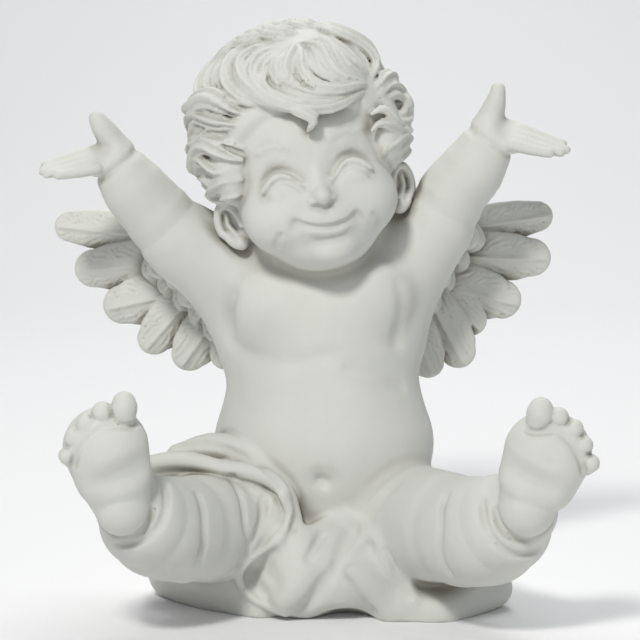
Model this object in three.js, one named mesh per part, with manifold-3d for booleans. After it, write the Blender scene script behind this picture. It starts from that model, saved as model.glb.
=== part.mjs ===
// A seated putto in cast stone: a winged, curly-haired child on a spread cloth, with both arms
// raised and the soles of both feet to the front. The whole statue is one casting.
//
// The figure is modelled like clay. Every form is a solid with a distance function, and the forms
// are blended, carved and pressed into one field, which is then turned into a closed mesh, thinned
// where it is flat, and cut level underneath so that it stands.
//
// The frame: X to the viewer's right, Y to the back, Z up, origin on the ground under the figure.
// Sizes of the figure are in parts, and a part is a hundredth of the statue's height.

import * as THREE from 'three';
import { edgeTable, triTable } from 'three/addons/objects/MarchingCubes.js';
import Module from 'manifold-3d';

const height = 360; // mm, from the underside to the top of the hair
const part = height / 100;
const sampleStep = 0.7; // parts between two samples of the clay
const triangleBudget = 9600; // triangles left after thinning
const stoneColour = 0xdfe0dc;

const clayLow = [-50.4, -47.6, -3.5]; // parts, the corners of the space that is sampled
const clayHigh = [46.2, 22.4, 103.6];

const degrees = THREE.MathUtils.degToRad;
const mix = THREE.MathUtils.lerp;

// The clay

const counts = clayLow.map((low, axis) => Math.ceil((clayHigh[axis] - low) / sampleStep) + 1);
const field = new Float32Array(counts[0] * counts[1] * counts[2]).fill(10);

function sampleIndex(i, j, k) {
  return i + counts[0] * (j + counts[1] * k);
}

// Runs change(value, x, y, z) on every sample inside a box of parts.
function overSamples(low, high, change) {
  const first = low.map((v, axis) => Math.max(0, Math.ceil((v - clayLow[axis]) / sampleStep)));
  const last = high.map((v, axis) =>
    Math.min(counts[axis] - 1, Math.floor((v - clayLow[axis]) / sampleStep)));
  for (let k = first[2]; k <= last[2]; k++) {
    for (let j = first[1]; j <= last[1]; j++) {
      for (let i = first[0]; i <= last[0]; i++) {
        const at = sampleIndex(i, j, k);
        field[at] = change(
          field[at],
          clayLow[0] + i * sampleStep,
          clayLow[1] + j * sampleStep,
          clayLow[2] + k * sampleStep
        );
      }
    }
  }
}

function blendLow(a, b, softness) {
  const h = Math.max(softness - Math.abs(a - b), 0) / softness;
  return Math.min(a, b) - (h * h * softness) / 4;
}

function grown(form, margin) {
  return [form.low.map((v) => v - margin), form.high.map((v) => v + margin)];
}

// Adds a form to the clay, with a fillet of about the given softness where they meet.
function add(form, softness) {
  const [low, high] = grown(form, softness + 2);
  overSamples(low, high, (v, x, y, z) => blendLow(v, form.distance(x, y, z), softness));
}

// Takes a form out of the clay.
function carve(form, softness) {
  const [low, high] = grown(form, softness + 2);
  overSamples(low, high, (v, x, y, z) => -blendLow(-v, form.distance(x, y, z), softness));
}

// Sinks the surface near a form by a depth that fades out over the width. A negative depth swells it.
function press(form, depth, width) {
  const [low, high] = grown(form, 2.6 * width);
  overSamples(low, high, (v, x, y, z) => {
    const away = Math.max(form.distance(x, y, z), 0) / width;
    return v + depth * Math.exp(-away * away);
  });
}

function between(a, b, share) {
  return [0, 1, 2].map((axis) => mix(a[axis], b[axis], share));
}

function wayFrom(a, b) {
  return [0, 1, 2].map((axis) => b[axis] - a[axis]);
}

// The value of the clay at a point, worked out from the eight samples round it.
function sampleAt(point) {
  const place = point.toArray().map((v, axis) =>
    THREE.MathUtils.clamp((v - clayLow[axis]) / sampleStep, 0, counts[axis] - 1.001));
  const [i, j, k] = place.map(Math.floor);
  const [u, v, w] = [place[0] - i, place[1] - j, place[2] - k];
  const alongX = (b, c) => mix(field[sampleIndex(i, j + b, k + c)],
    field[sampleIndex(i + 1, j + b, k + c)], u);
  return mix(mix(alongX(0, 0), alongX(1, 0), v), mix(alongX(0, 1), alongX(1, 1), v), w);
}

// How far along a line the surface of the clay is met.
function firstHit(start, way, length) {
  const stride = sampleStep / 2;
  let before = sampleAt(start);
  for (let run = stride; run < length; run += stride) {
    const after = sampleAt(start.clone().addScaledVector(way, run));
    if (after < 0) return run - stride + (stride * before) / (before - after);
    before = after;
  }
  return length;
}

// The forms

// An ellipsoid with its centre, its three radii and the frame that it is turned into.
function egg(centre, radii, turn = new THREE.Quaternion()) {
  const back = turn.clone().invert();
  const p = new THREE.Vector3();
  const reach = Math.max(...radii);
  return {
    low: centre.map((v) => v - reach),
    high: centre.map((v) => v + reach),
    distance(x, y, z) {
      p.set(x - centre[0], y - centre[1], z - centre[2]).applyQuaternion(back);
      const inner = Math.hypot(p.x / radii[0], p.y / radii[1], p.z / radii[2]);
      const slope = Math.hypot(p.x / radii[0] ** 2, p.y / radii[1] ** 2, p.z / radii[2] ** 2);
      return slope < 1e-6 ? -Math.min(...radii) : (inner * (inner - 1)) / slope;
    }
  };
}

// A tube through points [x, y, z, radius], flattened across the direction `flat` by `ratio`.
function tube(points, flat = [0, 0, 1], ratio = 1) {
  const [nx, ny, nz] = new THREE.Vector3(...flat).normalize().toArray();
  const squeeze = (v) => {
    const k = (ratio - 1) * (v[0] * nx + v[1] * ny + v[2] * nz);
    return [v[0] + k * nx, v[1] + k * ny, v[2] + k * nz];
  };
  const spans = points.slice(1).map((b, i) => {
    const a = points[i];
    const along = squeeze([b[0] - a[0], b[1] - a[1], b[2] - a[2]]);
    return { a, along, square: along[0] ** 2 + along[1] ** 2 + along[2] ** 2, grow: b[3] - a[3] };
  });
  const widest = Math.max(...points.map((q) => q[3]));
  return {
    low: [0, 1, 2].map((axis) => Math.min(...points.map((q) => q[axis])) - widest),
    high: [0, 1, 2].map((axis) => Math.max(...points.map((q) => q[axis])) + widest),
    distance(x, y, z) {
      let nearest = Infinity;
      for (const { a, along, square, grow } of spans) {
        let px = x - a[0];
        let py = y - a[1];
        let pz = z - a[2];
        const k = (ratio - 1) * (px * nx + py * ny + pz * nz);
        px += k * nx;
        py += k * ny;
        pz += k * nz;
        const t = Math.min(Math.max((px * along[0] + py * along[1] + pz * along[2]) / square, 0), 1);
        const ex = px - t * along[0];
        const ey = py - t * along[1];
        const ez = pz - t * along[2];
        const length = Math.hypot(ex, ey, ez) + 1e-9;
        const tilt = (ex * nx + ey * ny + ez * nz) / length;
        const slope = Math.sqrt(1 + (ratio * ratio - 1) * tilt * tilt);
        nearest = Math.min(nearest, (length - a[3] - t * grow) / slope);
      }
      return nearest;
    }
  };
}

function ball(x, y, z, radius) {
  return tube([[x, y, z, radius], [x, y, z + 1e-3, radius]]);
}

// More points on a smooth curve through the given ones, with the radius carried along.
function smooth(points, pieces = 4) {
  const curve = new THREE.CatmullRomCurve3(points.map((q) => new THREE.Vector3(q[0], q[1], q[2])));
  const total = (points.length - 1) * pieces;
  return Array.from({ length: total + 1 }, (_, n) => {
    const whole = Math.min(Math.floor(n / pieces), points.length - 2);
    const radius = mix(points[whole][3], points[whole + 1][3], n / pieces - whole);
    return [...curve.getPoint(n / total).toArray(), radius];
  });
}

// Lays [x, z] points on the clay, as it is seen from the front.
function onFront(points) {
  return points.map(([x, z]) => {
    const start = new THREE.Vector3(x, clayLow[1], z);
    return [x, clayLow[1] + firstHit(start, new THREE.Vector3(0, 1, 0), 60), z, 0.1];
  });
}

function pressFront(points, depth, width) {
  press(tube(smooth(onFront(points), 3)), depth, width);
}

// A crease round a limb at a place, across an axis.
function pressRing(centre, axis, radius, depth, width) {
  const along = new THREE.Vector3(...axis).normalize();
  const side = new THREE.Vector3().crossVectors(along, new THREE.Vector3(0, 0, 1)).normalize();
  const up = new THREE.Vector3().crossVectors(side, along);
  const count = 24;
  const points = Array.from({ length: count + 1 }, (_, n) => {
    const angle = (2 * Math.PI * n) / count;
    const spot = new THREE.Vector3(...centre)
      .addScaledVector(side, radius * Math.cos(angle))
      .addScaledVector(up, radius * Math.sin(angle));
    return [...spot.toArray(), 0.1];
  });
  press(tube(points), depth, width);
}

// Torso

const torsoForms = {
  seat: [[0.7, 1.5, 13.5], [18.5, 14.5, 13], 1], // centre, radii and softness
  belly: [[0.7, -2.2, 27], [19, 14.8, 15.5], 5],
  waist: [[0.5, -0.8, 40], [16.2, 12.4, 13], 5],
  chest: [[0.2, 0, 50.5], [16.4, 11.4, 13], 5]
};
const torsoLines = {
  underBreast: [[[-14, 43.8], [-9, 42.4], [-3, 42.8], [2, 43.8]], 0.32, 1.6], // [x, z], depth, width
  rightSide: [[[5, 41.4], [9, 39.6], [13.6, 38]], 0.3, 1.2],
  rightArmpit: [[[-14.6, 53], [-15.6, 46]], 0.5, 1.2],
  leftArmpit: [[[13.4, 55], [13.8, 50], [13, 45]], 0.8, 1.1],
  navelDip: [[[0.1, 23.2], [0.9, 23]], 1, 2],
  navel: [[[0.1, 22.9], [0.7, 22.5]], 1.8, 0.8],
  groin: [[[12.6, 22.6], [9, 18.4], [6.4, 15.8]], 0.3, 1.2]
};

function torso() {
  for (const [centre, radii, softness] of Object.values(torsoForms)) add(egg(centre, radii), softness);
  add(tube([[-14, 1, 56.8, 7.6], [13, 1, 58.6, 7.6]]), 4); // shoulders
  add(tube([[-16.5, 1, 54.5, 6], [-11.5, 0.5, 45, 6.4]]), 4); // flank below the right arm
  add(tube([[15.5, 1, 57, 6], [11.8, 0.5, 46, 6.4]]), 4); // flank below the left arm
  add(tube([[0, 2, 57, 9.5], [-0.8, 0.5, 65, 8.5]]), 3); // neck
  for (const [x, z] of [[-7.6, 51.5], [8, 53]]) add(egg([x, -7.4, z], [7, 4.6, 6]), 3.5); // breast
  for (const x of [-8, 9]) add(egg([x, 11, 9], [9, 6.5, 8]), 2); // buttocks
  press(tube([[0, 13.5, 22, 0.1], [0, 12, 50, 0.1]]), 1.1, 2.2); // spine
  for (const x of [-7.5, 7.5]) { // shoulder blades
    press(tube([[x, 11, 54, 1.5], [x * 1.1, 11, 49, 1.5]]), -0.5, 3);
  }
}

// Arms and hands. The figure's right arm is at -X.

const arms = [
  {
    limb: [[-15.5, 1, 56.6, 8], [-23.6, 0, 61.8, 7.1], [-28.4, -1, 67, 5.9],
      [-31.6, -2, 70.8, 5.6], [-34.7, -3, 75.2, 4.3]],
    palm: [[-34.9, -3, 75.9, 3.4], [-37.8, -4, 76.1, 3.9], [-40.6, -5, 75.5, 3]],
    fingerRoot: [-40.6, -5.1, 75.4],
    fingerWay: [-0.93, -0.25, -0.27],
    thumb: [[-34.6, -3.2, 77.5, 2.7], [-36, -4, 80, 2.3], [-37.4, -4.8, 82.4, 1.6],
      [-37.9, -5, 83.2, 1.25]]
  },
  {
    limb: [[14.5, 1, 58.4, 7.7], [19.7, 0, 64.4, 6.9], [22.8, -1, 70.2, 5.9],
      [25.9, -2, 74.1, 5.6], [28.9, -3, 79.2, 4.4]],
    palm: [[29.3, -3, 80, 3.5], [32.4, -4, 80.2, 4.1], [35.2, -5, 79.4, 3.2]],
    fingerRoot: [35.2, -5.1, 79.3],
    fingerWay: [0.92, -0.25, -0.32],
    thumb: [[28.8, -3.2, 82, 2.7], [29.4, -4, 84.4, 2.1], [30, -4.8, 87, 1.4],
      [30.1, -5, 88, 1.25]]
  }
];
const palmFacing = [0, -0.6, 0.8];
const fingerLengths = [4.9, 5.6, 5.1, 3.9]; // first finger to little finger
const fingerRadius = 1.08;
const fingerSpacing = 1.75;

function arm({ limb, palm }) {
  add(tube(smooth(limb)), 2.5);
  const wrist = between(limb[4], palm[0], 0.4);
  pressRing(wrist, wayFrom(limb[3], limb[4]), limb[4][3], 0.55, 0.6);
  pressRing(between(limb[1], limb[2], 0.6), wayFrom(limb[1], limb[3]), limb[2][3], 0.35, 1.3);
}

function hand({ palm, fingerRoot, fingerWay, thumb }) {
  add(tube(palm, palmFacing, 1.75), 0.9);
  add(tube(smooth(thumb)), 1.2);
  const across = new THREE.Vector3(...palmFacing)
    .cross(new THREE.Vector3(...fingerWay)).normalize();
  if (across.z < 0) across.negate();
  fingerLengths.forEach((length, n) => {
    const side = (1.5 - n) * fingerSpacing;
    const points = [0, 0.5, 1].map((share) => [
      ...fingerRoot.map((v, axis) =>
        v + across.getComponent(axis) * side * (1 - 0.25 * share) + fingerWay[axis] * length * share),
      fingerRadius * mix(1.1, 0.75, share)
    ]);
    add(tube(points), 0.3);
  });
}

// The head's own frame: x to the figure's left ear, y to the back, z up, turned a little to its
// left and leaning to its right.

const headCentre = new THREE.Vector3(-1.87, -4.5, 73.3);
const headTurn = new THREE.Quaternion()
  .setFromAxisAngle(new THREE.Vector3(0, 1, 0), -degrees(12.5))
  .multiply(new THREE.Quaternion().setFromAxisAngle(new THREE.Vector3(0, 0, 1), degrees(6)));

function inHead(x, y, z) {
  return new THREE.Vector3(x, y, z).applyQuaternion(headTurn).add(headCentre).toArray();
}

function headEgg(centre, radii, turn = headTurn) {
  return egg(inHead(...centre), radii, turn);
}

function headTube(points, flat, ratio) {
  const facing = flat && new THREE.Vector3(...flat).applyQuaternion(headTurn).toArray();
  return tube(points.map(([x, y, z, r]) => [...inHead(x, y, z), r]), facing, ratio);
}

const scalpCentre = [0, 1.5, 7.5];
const scalpRadius = 18;

const faceForms = {
  cranium: [scalpCentre, [0.87, 0.89, 0.87].map((v) => v * scalpRadius), 3],
  lowerFace: [[0, -3.6, -4], [12.9, 12, 10.6], 4],
  rightCheek: [[-7.4, -9.2, -5.2], [5.4, 5, 5.2], 3],
  leftCheek: [[7.4, -9.2, -5.2], [5.4, 5, 5.2], 3],
  underChin: [[0, -8, -11], [7.4, 5.4, 4.2], 2.5],
  chin: [[0.2, -11.9, -12], [3.6, 2.9, 2.5], 1.8],
  mouth: [[0, -12.3, -6.6], [4.8, 3.1, 3], 1.8]
};
const eye = { across: 5.9, height: -0.3, half: 3.2, rise: 2.2 };
const mouth = { half: 4.8, height: -7.9, bow: 0.05, tilt: -0.09 };

// Presses a line of [x, z] points into the face, as it is seen from the head's own front.
function pressFace(points, depth, width) {
  const way = new THREE.Vector3(0, 1, 0).applyQuaternion(headTurn);
  const laid = points.map(([x, z]) => {
    const start = new THREE.Vector3(...inHead(x, -24, z));
    return [x, -24 + firstHit(start, way, 22), z, 0.1];
  });
  press(headTube(smooth(laid, 3)), depth, width);
}

const arcShares = [-1, -0.67, -0.33, 0, 0.33, 0.67, 1];

function closedEye(side) {
  const middle = side * eye.across;
  pressFace([[side * 6.9, 2.8], [side * 4.2, 2.9], [side * 2.2, 1.2]], 0.5, 1.5); // socket
  add(headEgg([middle, -11.4, eye.height + 0.1], [3.4, 2, 2.1]), 1.1); // eyeball under its lid
  const arc = (rise, lift, half) =>
    arcShares.map((u) => [middle + u * half, eye.height + lift + rise * (1 - u * u)]);
  pressFace(arc(eye.rise, 0.55, eye.half), 0.5, 0.6);
  pressFace(arc(eye.rise - 0.1, -0.7, eye.half - 0.1), 0.7, 0.6); // lashes
  pressFace([[side * 8.2, -8.2], [side * 8.7, -9]], 0.5, 0.7); // dimple
}

function face() {
  for (const [centre, radii, softness] of Object.values(faceForms)) add(headEgg(centre, radii), softness);
  for (const side of [-1, 1]) closedEye(side);
  add(headTube([[0, -13.4, 1.2, 1.1], [0, -14.6, -1.4, 1.2], [0.1, -15.9, -2.7, 1.45]]), 1); // nose
  for (const side of [-1, 1]) add(headEgg([side * 1.55, -14.9, -3.3], [0.95, 1.2, 0.85]), 0.5);
  const arc = (half, height, bow) =>
    arcShares.map((u) => [u * half, height + bow * (u * half) ** 2 + mouth.tilt * u * half]);
  pressFace(arc(mouth.half, mouth.height, mouth.bow), 0.9, 0.55);
  pressFace(arc(mouth.half * 0.5, mouth.height - 0.9, mouth.bow), -0.4, 0.7); // lower lip
}

function ear(side) {
  const flare = new THREE.Quaternion()
    .setFromAxisAngle(new THREE.Vector3(0, 0, 1), side * degrees(38))
    .multiply(new THREE.Quaternion().setFromAxisAngle(new THREE.Vector3(0, 1, 0), side * degrees(12)));
  const turn = headTurn.clone().multiply(flare);
  const at = (x, y, z) =>
    new THREE.Vector3(side * x, y, z).applyQuaternion(flare)
      .add(new THREE.Vector3(side * 14.6, -1.3, -5)).toArray();
  add(headEgg(at(-0.6, 0.9, 0), [2.6, 1.5, 3.7], turn), 1);
  carve(headEgg(at(-0.3, -0.9, 0.3), [1.5, 1.2, 2.5], turn), 0.5);
  const rim = [];
  for (let angle = -110; angle <= 190; angle += 20) {
    const reach = angle > -12 ? 2.35 : 1.7;
    rim.push([...at(reach * Math.cos(degrees(angle)), -0.5, 3.5 * Math.sin(degrees(angle))), 0.8]);
  }
  add(headTube(rim), 0.4);
  add(headTube([[...at(-0.5, -0.2, -3.5), 1.25], [...at(-0.4, -0.2, -3.4), 1.25]]), 0.6); // lobe
}

// Hair: a cap with strands on it. A strand's route over the scalp is a few places in degrees,
// round from the face and up.

const hairSheets = [ // routes side by side, with strands on them and between them
  {
    routes: [[[84, 71], [60, 54], [66, 42], [66, 30], [54, 22]],
      [[28, 64], [39, 53], [35, 41], [36, 30], [50, 21]],
      [[12, 59], [10, 48], [5, 38], [8, 28], [20, 21], [47, 19]],
      [[13, 54], [-3, 51], [-15, 43], [-18, 33], [-11, 23], [2, 15], [20, 12], [47, 18]],
      [[-17, 67], [-37, 58], [-41, 48], [-35, 36], [-24, 27], [-14, 20], [-6, 15]],
      [[-88, 70], [-90, 56], [-76, 42], [-58, 32], [-36, 22]]],
    between: 1, width: 2, lift: 0
  },
  {
    routes: [[[-36, 19], [-50, 24], [-70, 27], [-95, 23]],
      [[-41, 5], [-50, 11], [-66, 12], [-84, 7], [-98, -1]],
      [[-45, -9], [-58, -7], [-71, -3], [-87, -8]],
      [[-54, -22], [-62, -18], [-74, -15], [-94, -19]],
      [[-64, -32], [-68, -26], [-78, -21], [-96, -24]]],
    between: 0, width: 2, lift: -0.3
  }
];
const sideLocks = [ // single strands and their widths
  [[[84, 74], [74, 52], [80, 36], [82, 24]], 2],
  [[[52, 11], [66, 15], [82, 10], [86, 2], [80, -5], [64, -5], [53, -1]], 1.6],
  [[[40, -6], [44, -3], [52, -5], [62, -9], [84, -10]], 1.4],
  [[[48, -22], [51, -16], [62, -12], [80, -11], [90, -16]], 1.5],
  [[[63, -29], [70, -24], [82, -21], [90, -27]], 1.4]
];
const backRows = [ // how many curls, their elevation and their size
  [6, -30, 4.2], [7, -10, 5], [7, 14, 5.4], [6, 38, 5.6], [4, 62, 5.4]
];
const routeSteps = 12;

function scalpSpot(az, el) {
  const [a, e] = [az, el].map(degrees);
  return new THREE.Vector3(Math.sin(a) * Math.cos(e), -Math.cos(a) * Math.cos(e), Math.sin(e));
}

// Evenly spaced directions from the scalp's centre, along a smooth curve through the places.
function route(places) {
  const curve = new THREE.CatmullRomCurve3(places.map((place) => scalpSpot(...place)));
  return curve.getSpacedPoints(routeSteps).map((spot) => spot.normalize());
}

function strand(way, width, lift) {
  const points = way.map((spot, n) => {
    const share = n / (way.length - 1);
    const body = Math.min(1, 0.35 + 2.6 * share, 0.25 + 2.6 * (1 - share));
    const sink = 1.3 * ((1 - share) ** 6 + share ** 8);
    const reach = scalpRadius + lift + 0.4 * Math.sin(Math.PI * share) - sink;
    return [...spot.toArray().map((v, axis) => scalpCentre[axis] + v * reach), width * body];
  });
  add(headTube(points, way[Math.floor(way.length / 2)].toArray(), 1.15), 0.35);
}

function sheet({ routes, between: extra, width, lift }) {
  const ways = routes.map(route);
  for (let n = 0; n <= (ways.length - 1) * (extra + 1); n++) {
    const first = Math.min(Math.floor(n / (extra + 1)), ways.length - 2);
    const share = n / (extra + 1) - first;
    const way = ways[first].map((spot, m) => spot.clone().lerp(ways[first + 1][m], share).normalize());
    strand(way, width, lift + 0.25 * Math.cos(2.6 * n) - (share > 0 && share < 1 ? 0.3 : 0));
  }
}

function curl(az, el, size, turn, hand) {
  const centre = scalpSpot(az, el);
  const side = new THREE.Vector3(Math.cos(degrees(az)), Math.sin(degrees(az)), 0);
  const up = new THREE.Vector3().crossVectors(side, centre);
  for (const inner of [0, 1]) {
    const way = Array.from({ length: routeSteps + 1 }, (_, n) => {
      const share = n / routeSteps;
      const angle = degrees(turn) + hand * (share * 1.5 * Math.PI - 0.35 * inner);
      const reach = (size * (1 - 0.5 * inner) * (1 - 0.25 * share)) / scalpRadius;
      return centre.clone().addScaledVector(side, Math.cos(angle) * reach)
        .addScaledVector(up, Math.sin(angle) * reach).normalize();
    });
    strand(way, 1.6, -0.1);
  }
}

// A form that is cut off by a plane.
function cutOff(form, point, normal, softness) {
  const offset = point.reduce((sum, v, axis) => sum + v * normal[axis], 0);
  return {
    ...form,
    distance: (x, y, z) => {
      const beyond = x * normal[0] + y * normal[1] + z * normal[2] - offset;
      return -blendLow(-form.distance(x, y, z), -beyond, softness);
    }
  };
}

function hair() {
  const hairline = new THREE.Vector3(0, -0.8, -0.6).applyQuaternion(headTurn).toArray();
  const cap = headEgg([0, 2, 7.4], [0.989, 0.972, 1.006].map((v) => v * scalpRadius));
  add(cutOff(cap, inHead(0, -12.6, 11), hairline, 1), 0.6);
  add(headEgg([0, 6, -4], [0.8, 0.64, 0.56].map((v) => v * scalpRadius)), 1.2); // nape
  for (const side of [-1, 1]) add(headEgg([side * 12.9, -5, 5.4], [3.7, 5.2, 7.4]), 1); // temples
  backRows.forEach(([count, el, size], row) => {
    for (let n = 0; n < count; n++) {
      const az = mix(102, 258, (n + 0.25 + 0.5 * (row % 2)) / count);
      const turn = 40 * Math.sin(1.7 * n + 2 * row) + 100;
      curl(az, el + 3 * Math.sin(2.1 * n + row), size, turn, (n + row) % 2 ? 1 : -1);
    }
  });
  hairSheets.forEach(sheet);
  for (const [places, width] of sideLocks) strand(route(places), width, 0.2);
}

// Legs and feet

const legs = [
  {
    thigh: [[-9.5, -3, 13.5, 10], [-16.2, -13, 14.6, 9.6], [-20.6, -20.4, 15.6, 9]],
    calf: [[-23.4, -25, 16.4, 8.8], [-26.3, -29.6, 17.9, 8.3], [-28, -32.4, 19.4, 7.6]],
    ankle: [[-29.4, -34, 21.2, 6.4], [-30, -34.6, 21.8, 5.9]],
    heel: [-31.2, -39.2, 22.9, 4.4],
    ball: [-33.6, -40.6, 32.6, 6.8],
    toes: [[-30.5, 39.6, 2.1], [-33.9, 38.9, 1.7], [-36.4, 37, 1.6], [-38.4, 34.8, 1.5],
      [-39.4, 32, 1.45]], // x, z and radius
    creases: [[[-24.9, 26], [-24.4, 23], [-25.2, 20.4], [-28, 17.8], [-32.2, 16.8]],
      [[-23, 26.3], [-19.6, 23.2], [-18.6, 18.8], [-19.6, 12.7]]] // x and z
  },
  {
    thigh: [[10.5, -3, 13.8, 10.2], [16.6, -13, 15, 9.8], [21, -20.4, 15.9, 9.2]],
    calf: [[24, -25, 16.1, 9.1], [27.3, -29.6, 17.2, 8.9], [29.2, -32.2, 18.8, 8.2]],
    ankle: [[31, -34, 20.8, 7], [31.7, -34.6, 21.6, 6.4]],
    heel: [32.6, -39.2, 22.9, 4.6],
    ball: [35.7, -40.6, 31.6, 7],
    toes: [[34.3, 38.6, 2.2], [37.2, 38.1, 1.6], [39.6, 36.3, 1.5], [41.2, 33.7, 1.45],
      [42.3, 30.8, 1.45]],
    creases: [[[26.4, 26.6], [25.7, 23.7], [26.7, 19], [30.4, 15.5], [35.1, 15.8]],
      [[24.6, 25.9], [20.3, 23.2], [19.3, 18.4], [19.5, 13.5], [20.9, 10.8]]]
  }
];
const toeDepth = -42; // the toes' own y

function leg({ thigh, calf, ankle, creases }) {
  add(tube(thigh), 2.5);
  add(tube(calf), 0.7);
  add(tube(ankle), 0.4);
  for (const line of creases) pressFront(line, 0.9, 0.6);
}

function foot({ ankle, heel, ball: pad, toes }) {
  const instep = between(heel, pad, 0.75);
  instep[1] += 2.6;
  add(tube([[...ankle[1].slice(0, 3), 5.2], [...instep, 4.4]]), 0.6);
  const waist = [...between(heel, pad, 0.6), mix(heel[3], pad[3], 0.75)];
  add(tube([heel, waist, pad], [0, 1, 0], 1.5), 0.25);
  add(ball(heel[0], heel[1] + 0.2, heel[2], heel[3]), 0.25);
  const inner = Math.sign(toes[0][0] - toes[4][0]);
  const [archX, , archZ] = between(heel, pad, 0.52);
  press(tube([[archX + inner * 4.4, -43.4, archZ + 2.2, 0.3], [archX - inner * 0.5, -44, archZ, 0.3]]),
    0.8, 1.9); // arch
  const sole = new THREE.Vector2(pad[0] - heel[0], pad[2] - heel[2]).normalize();
  toes.forEach(([x, z, radius], n) => {
    const spread = new THREE.Vector2(x - pad[0], z - pad[2]).multiplyScalar(0.06);
    const way = sole.clone().add(spread).normalize();
    const drop = n ? 1.1 : 1.8;
    const tip = n ? 0.15 : 0.4;
    add(tube([[x - way.x * drop, toeDepth + 0.2, z - way.y * drop, radius * 0.82],
      [x, toeDepth, z, radius],
      [x + way.x * tip, toeDepth + 0.3, z + way.y * tip, radius * 0.95]]), 0.2);
  });
}

// Wings. Each feather is a flat paddle that is known by its tip, its slope below level and its
// size. The long feathers come first, from the top one down, then the coverts near the body.

const wings = [
  {
    side: -1,
    arm: [[-7, 8, 54, 4], [-14, 10.4, 57.6, 3.4], [-22, 12, 60.4, 2.2]],
    feathers: [
      { tip: [-47.2, 14.6, 63.4], slope: -6, length: 30, width: 7.4 },
      { tip: [-43.6, 13.6, 55.4], slope: 6, length: 28, width: 9.2 },
      { tip: [-38.4, 12.6, 48.6], slope: 14, length: 24, width: 9.6 },
      { tip: [-31.4, 11.6, 41.2], slope: 50, length: 17, width: 8.2 },
      { tip: [-25, 10.8, 38.3], slope: 55, length: 16, width: 8.8 },
      { tip: [-18, 10, 38.4], slope: 62, length: 16, width: 8 }
    ],
    coverts: { from: [-31.3, 10.4, 54.9], to: [-19.4, 8.6, 43.4], slopeFrom: 30, slopeTo: 62 }
  },
  {
    side: 1,
    arm: [[7, 8, 55, 4], [14, 10.4, 59, 3.4], [20.5, 12, 61.6, 2.2]],
    feathers: [
      { tip: [41.4, 14.6, 65.4], slope: -9, length: 27, width: 7.4 },
      { tip: [41, 13.6, 57.6], slope: 2, length: 27, width: 9.2 },
      { tip: [35.6, 12.6, 49.4], slope: 16, length: 23, width: 9.6 },
      { tip: [28.8, 11.6, 44.8], slope: 44, length: 17, width: 8.2 },
      { tip: [26, 10.8, 38.6], slope: 62, length: 16, width: 8.6 },
      { tip: [20.2, 10, 36.8], slope: 68, length: 15, width: 8 }
    ],
    coverts: { from: [29, 10.4, 60.4], to: [17.6, 8.6, 44.4], slopeFrom: 22, slopeTo: 66 }
  }
];
const coverts = { count: 5, length: 11, width: 5.6 };
const featherFlatness = 3.8;

function feather({ tip, slope, length, width }, side) {
  const way = [side * Math.cos(degrees(slope)), 0.05, -Math.sin(degrees(slope))];
  const profile = [0.5, 0.72, 0.92, 1, 0.86];
  const points = profile.map((share, n) => {
    const back = (1 - n / (profile.length - 1)) * (length - width * 0.43) + width * 0.43;
    return [...tip.map((v, axis) => v - way[axis] * back), (share * width) / 2];
  });
  add(tube(points, [0.12 * side, 1, 0.1], featherFlatness), 0.3);
}

function wing({ side, arm: bone, feathers, coverts: row }) {
  add(tube(smooth(bone)), 2);
  for (const shape of feathers) feather(shape, side);
  for (let n = 0; n < coverts.count; n++) {
    const share = n / (coverts.count - 1);
    const tip = between(row.from, row.to, share);
    const slope = mix(row.slopeFrom, row.slopeTo, share);
    feather({ tip, slope, length: coverts.length, width: coverts.width }, side);
  }
}

// The cloth: a mound under the figure, a length thrown over the right thigh that falls between
// the legs in a turned hem, and a gathered hump in the lap.

const cloths = {
  overHip: [[-24, -10.5, 26, 2.2], [-18.4, -10, 27.4, 2.6], [-13.1, -12, 26.6, 2.7],
    [-9.6, -14, 23.8, 2.6], [-6.6, -15.6, 20.6, 2.4], [-5.2, -17, 16.6, 2.2]],
  roll: [[-28.6, -16.6, 26, 1.3], [-24, -17, 26.7, 1.5], [-20.2, -17.2, 26.2, 1.5],
    [-16.5, -17.4, 25.2, 1.45], [-12.8, -17.8, 24.9, 1.5], [-9, -18.3, 24, 1.4],
    [-6.4, -18.8, 21.9, 1.1], [-5.6, -19.2, 19.6, 0.8], [-5.3, -19.2, 18.4, 0.5]],
  sheet: [[-12.4, -15.4, 22.4, 3], [-9, -15.8, 18.6, 3.7], [-9.2, -16.6, 14.6, 3.2],
    [-12, -18, 10.4, 2.2]],
  baseRight: [[10, -17, 0.6, 3.2], [20, -15.6, 0.8, 3.4], [30, -9, 2.6, 3.4]],
  baseLeft: [[-10, -16, 0.6, 3], [-19, -10, 1.2, 2.6], [-26.5, -3, 2.6, 2.4]]
};
const hem = { // [x, z] points from the front
  line: [[-6.2, 21], [-5.1, 17.4], [-7.2, 13.7], [-9.4, 11.9], [-11.7, 10.7], [-13, 9.5],
    [-13.6, 7.6], [-13, 5.4], [-11.3, 3.5], [-8.7, 2.3], [-5.7, 1.6]],
  radius: 0.9
};
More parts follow.
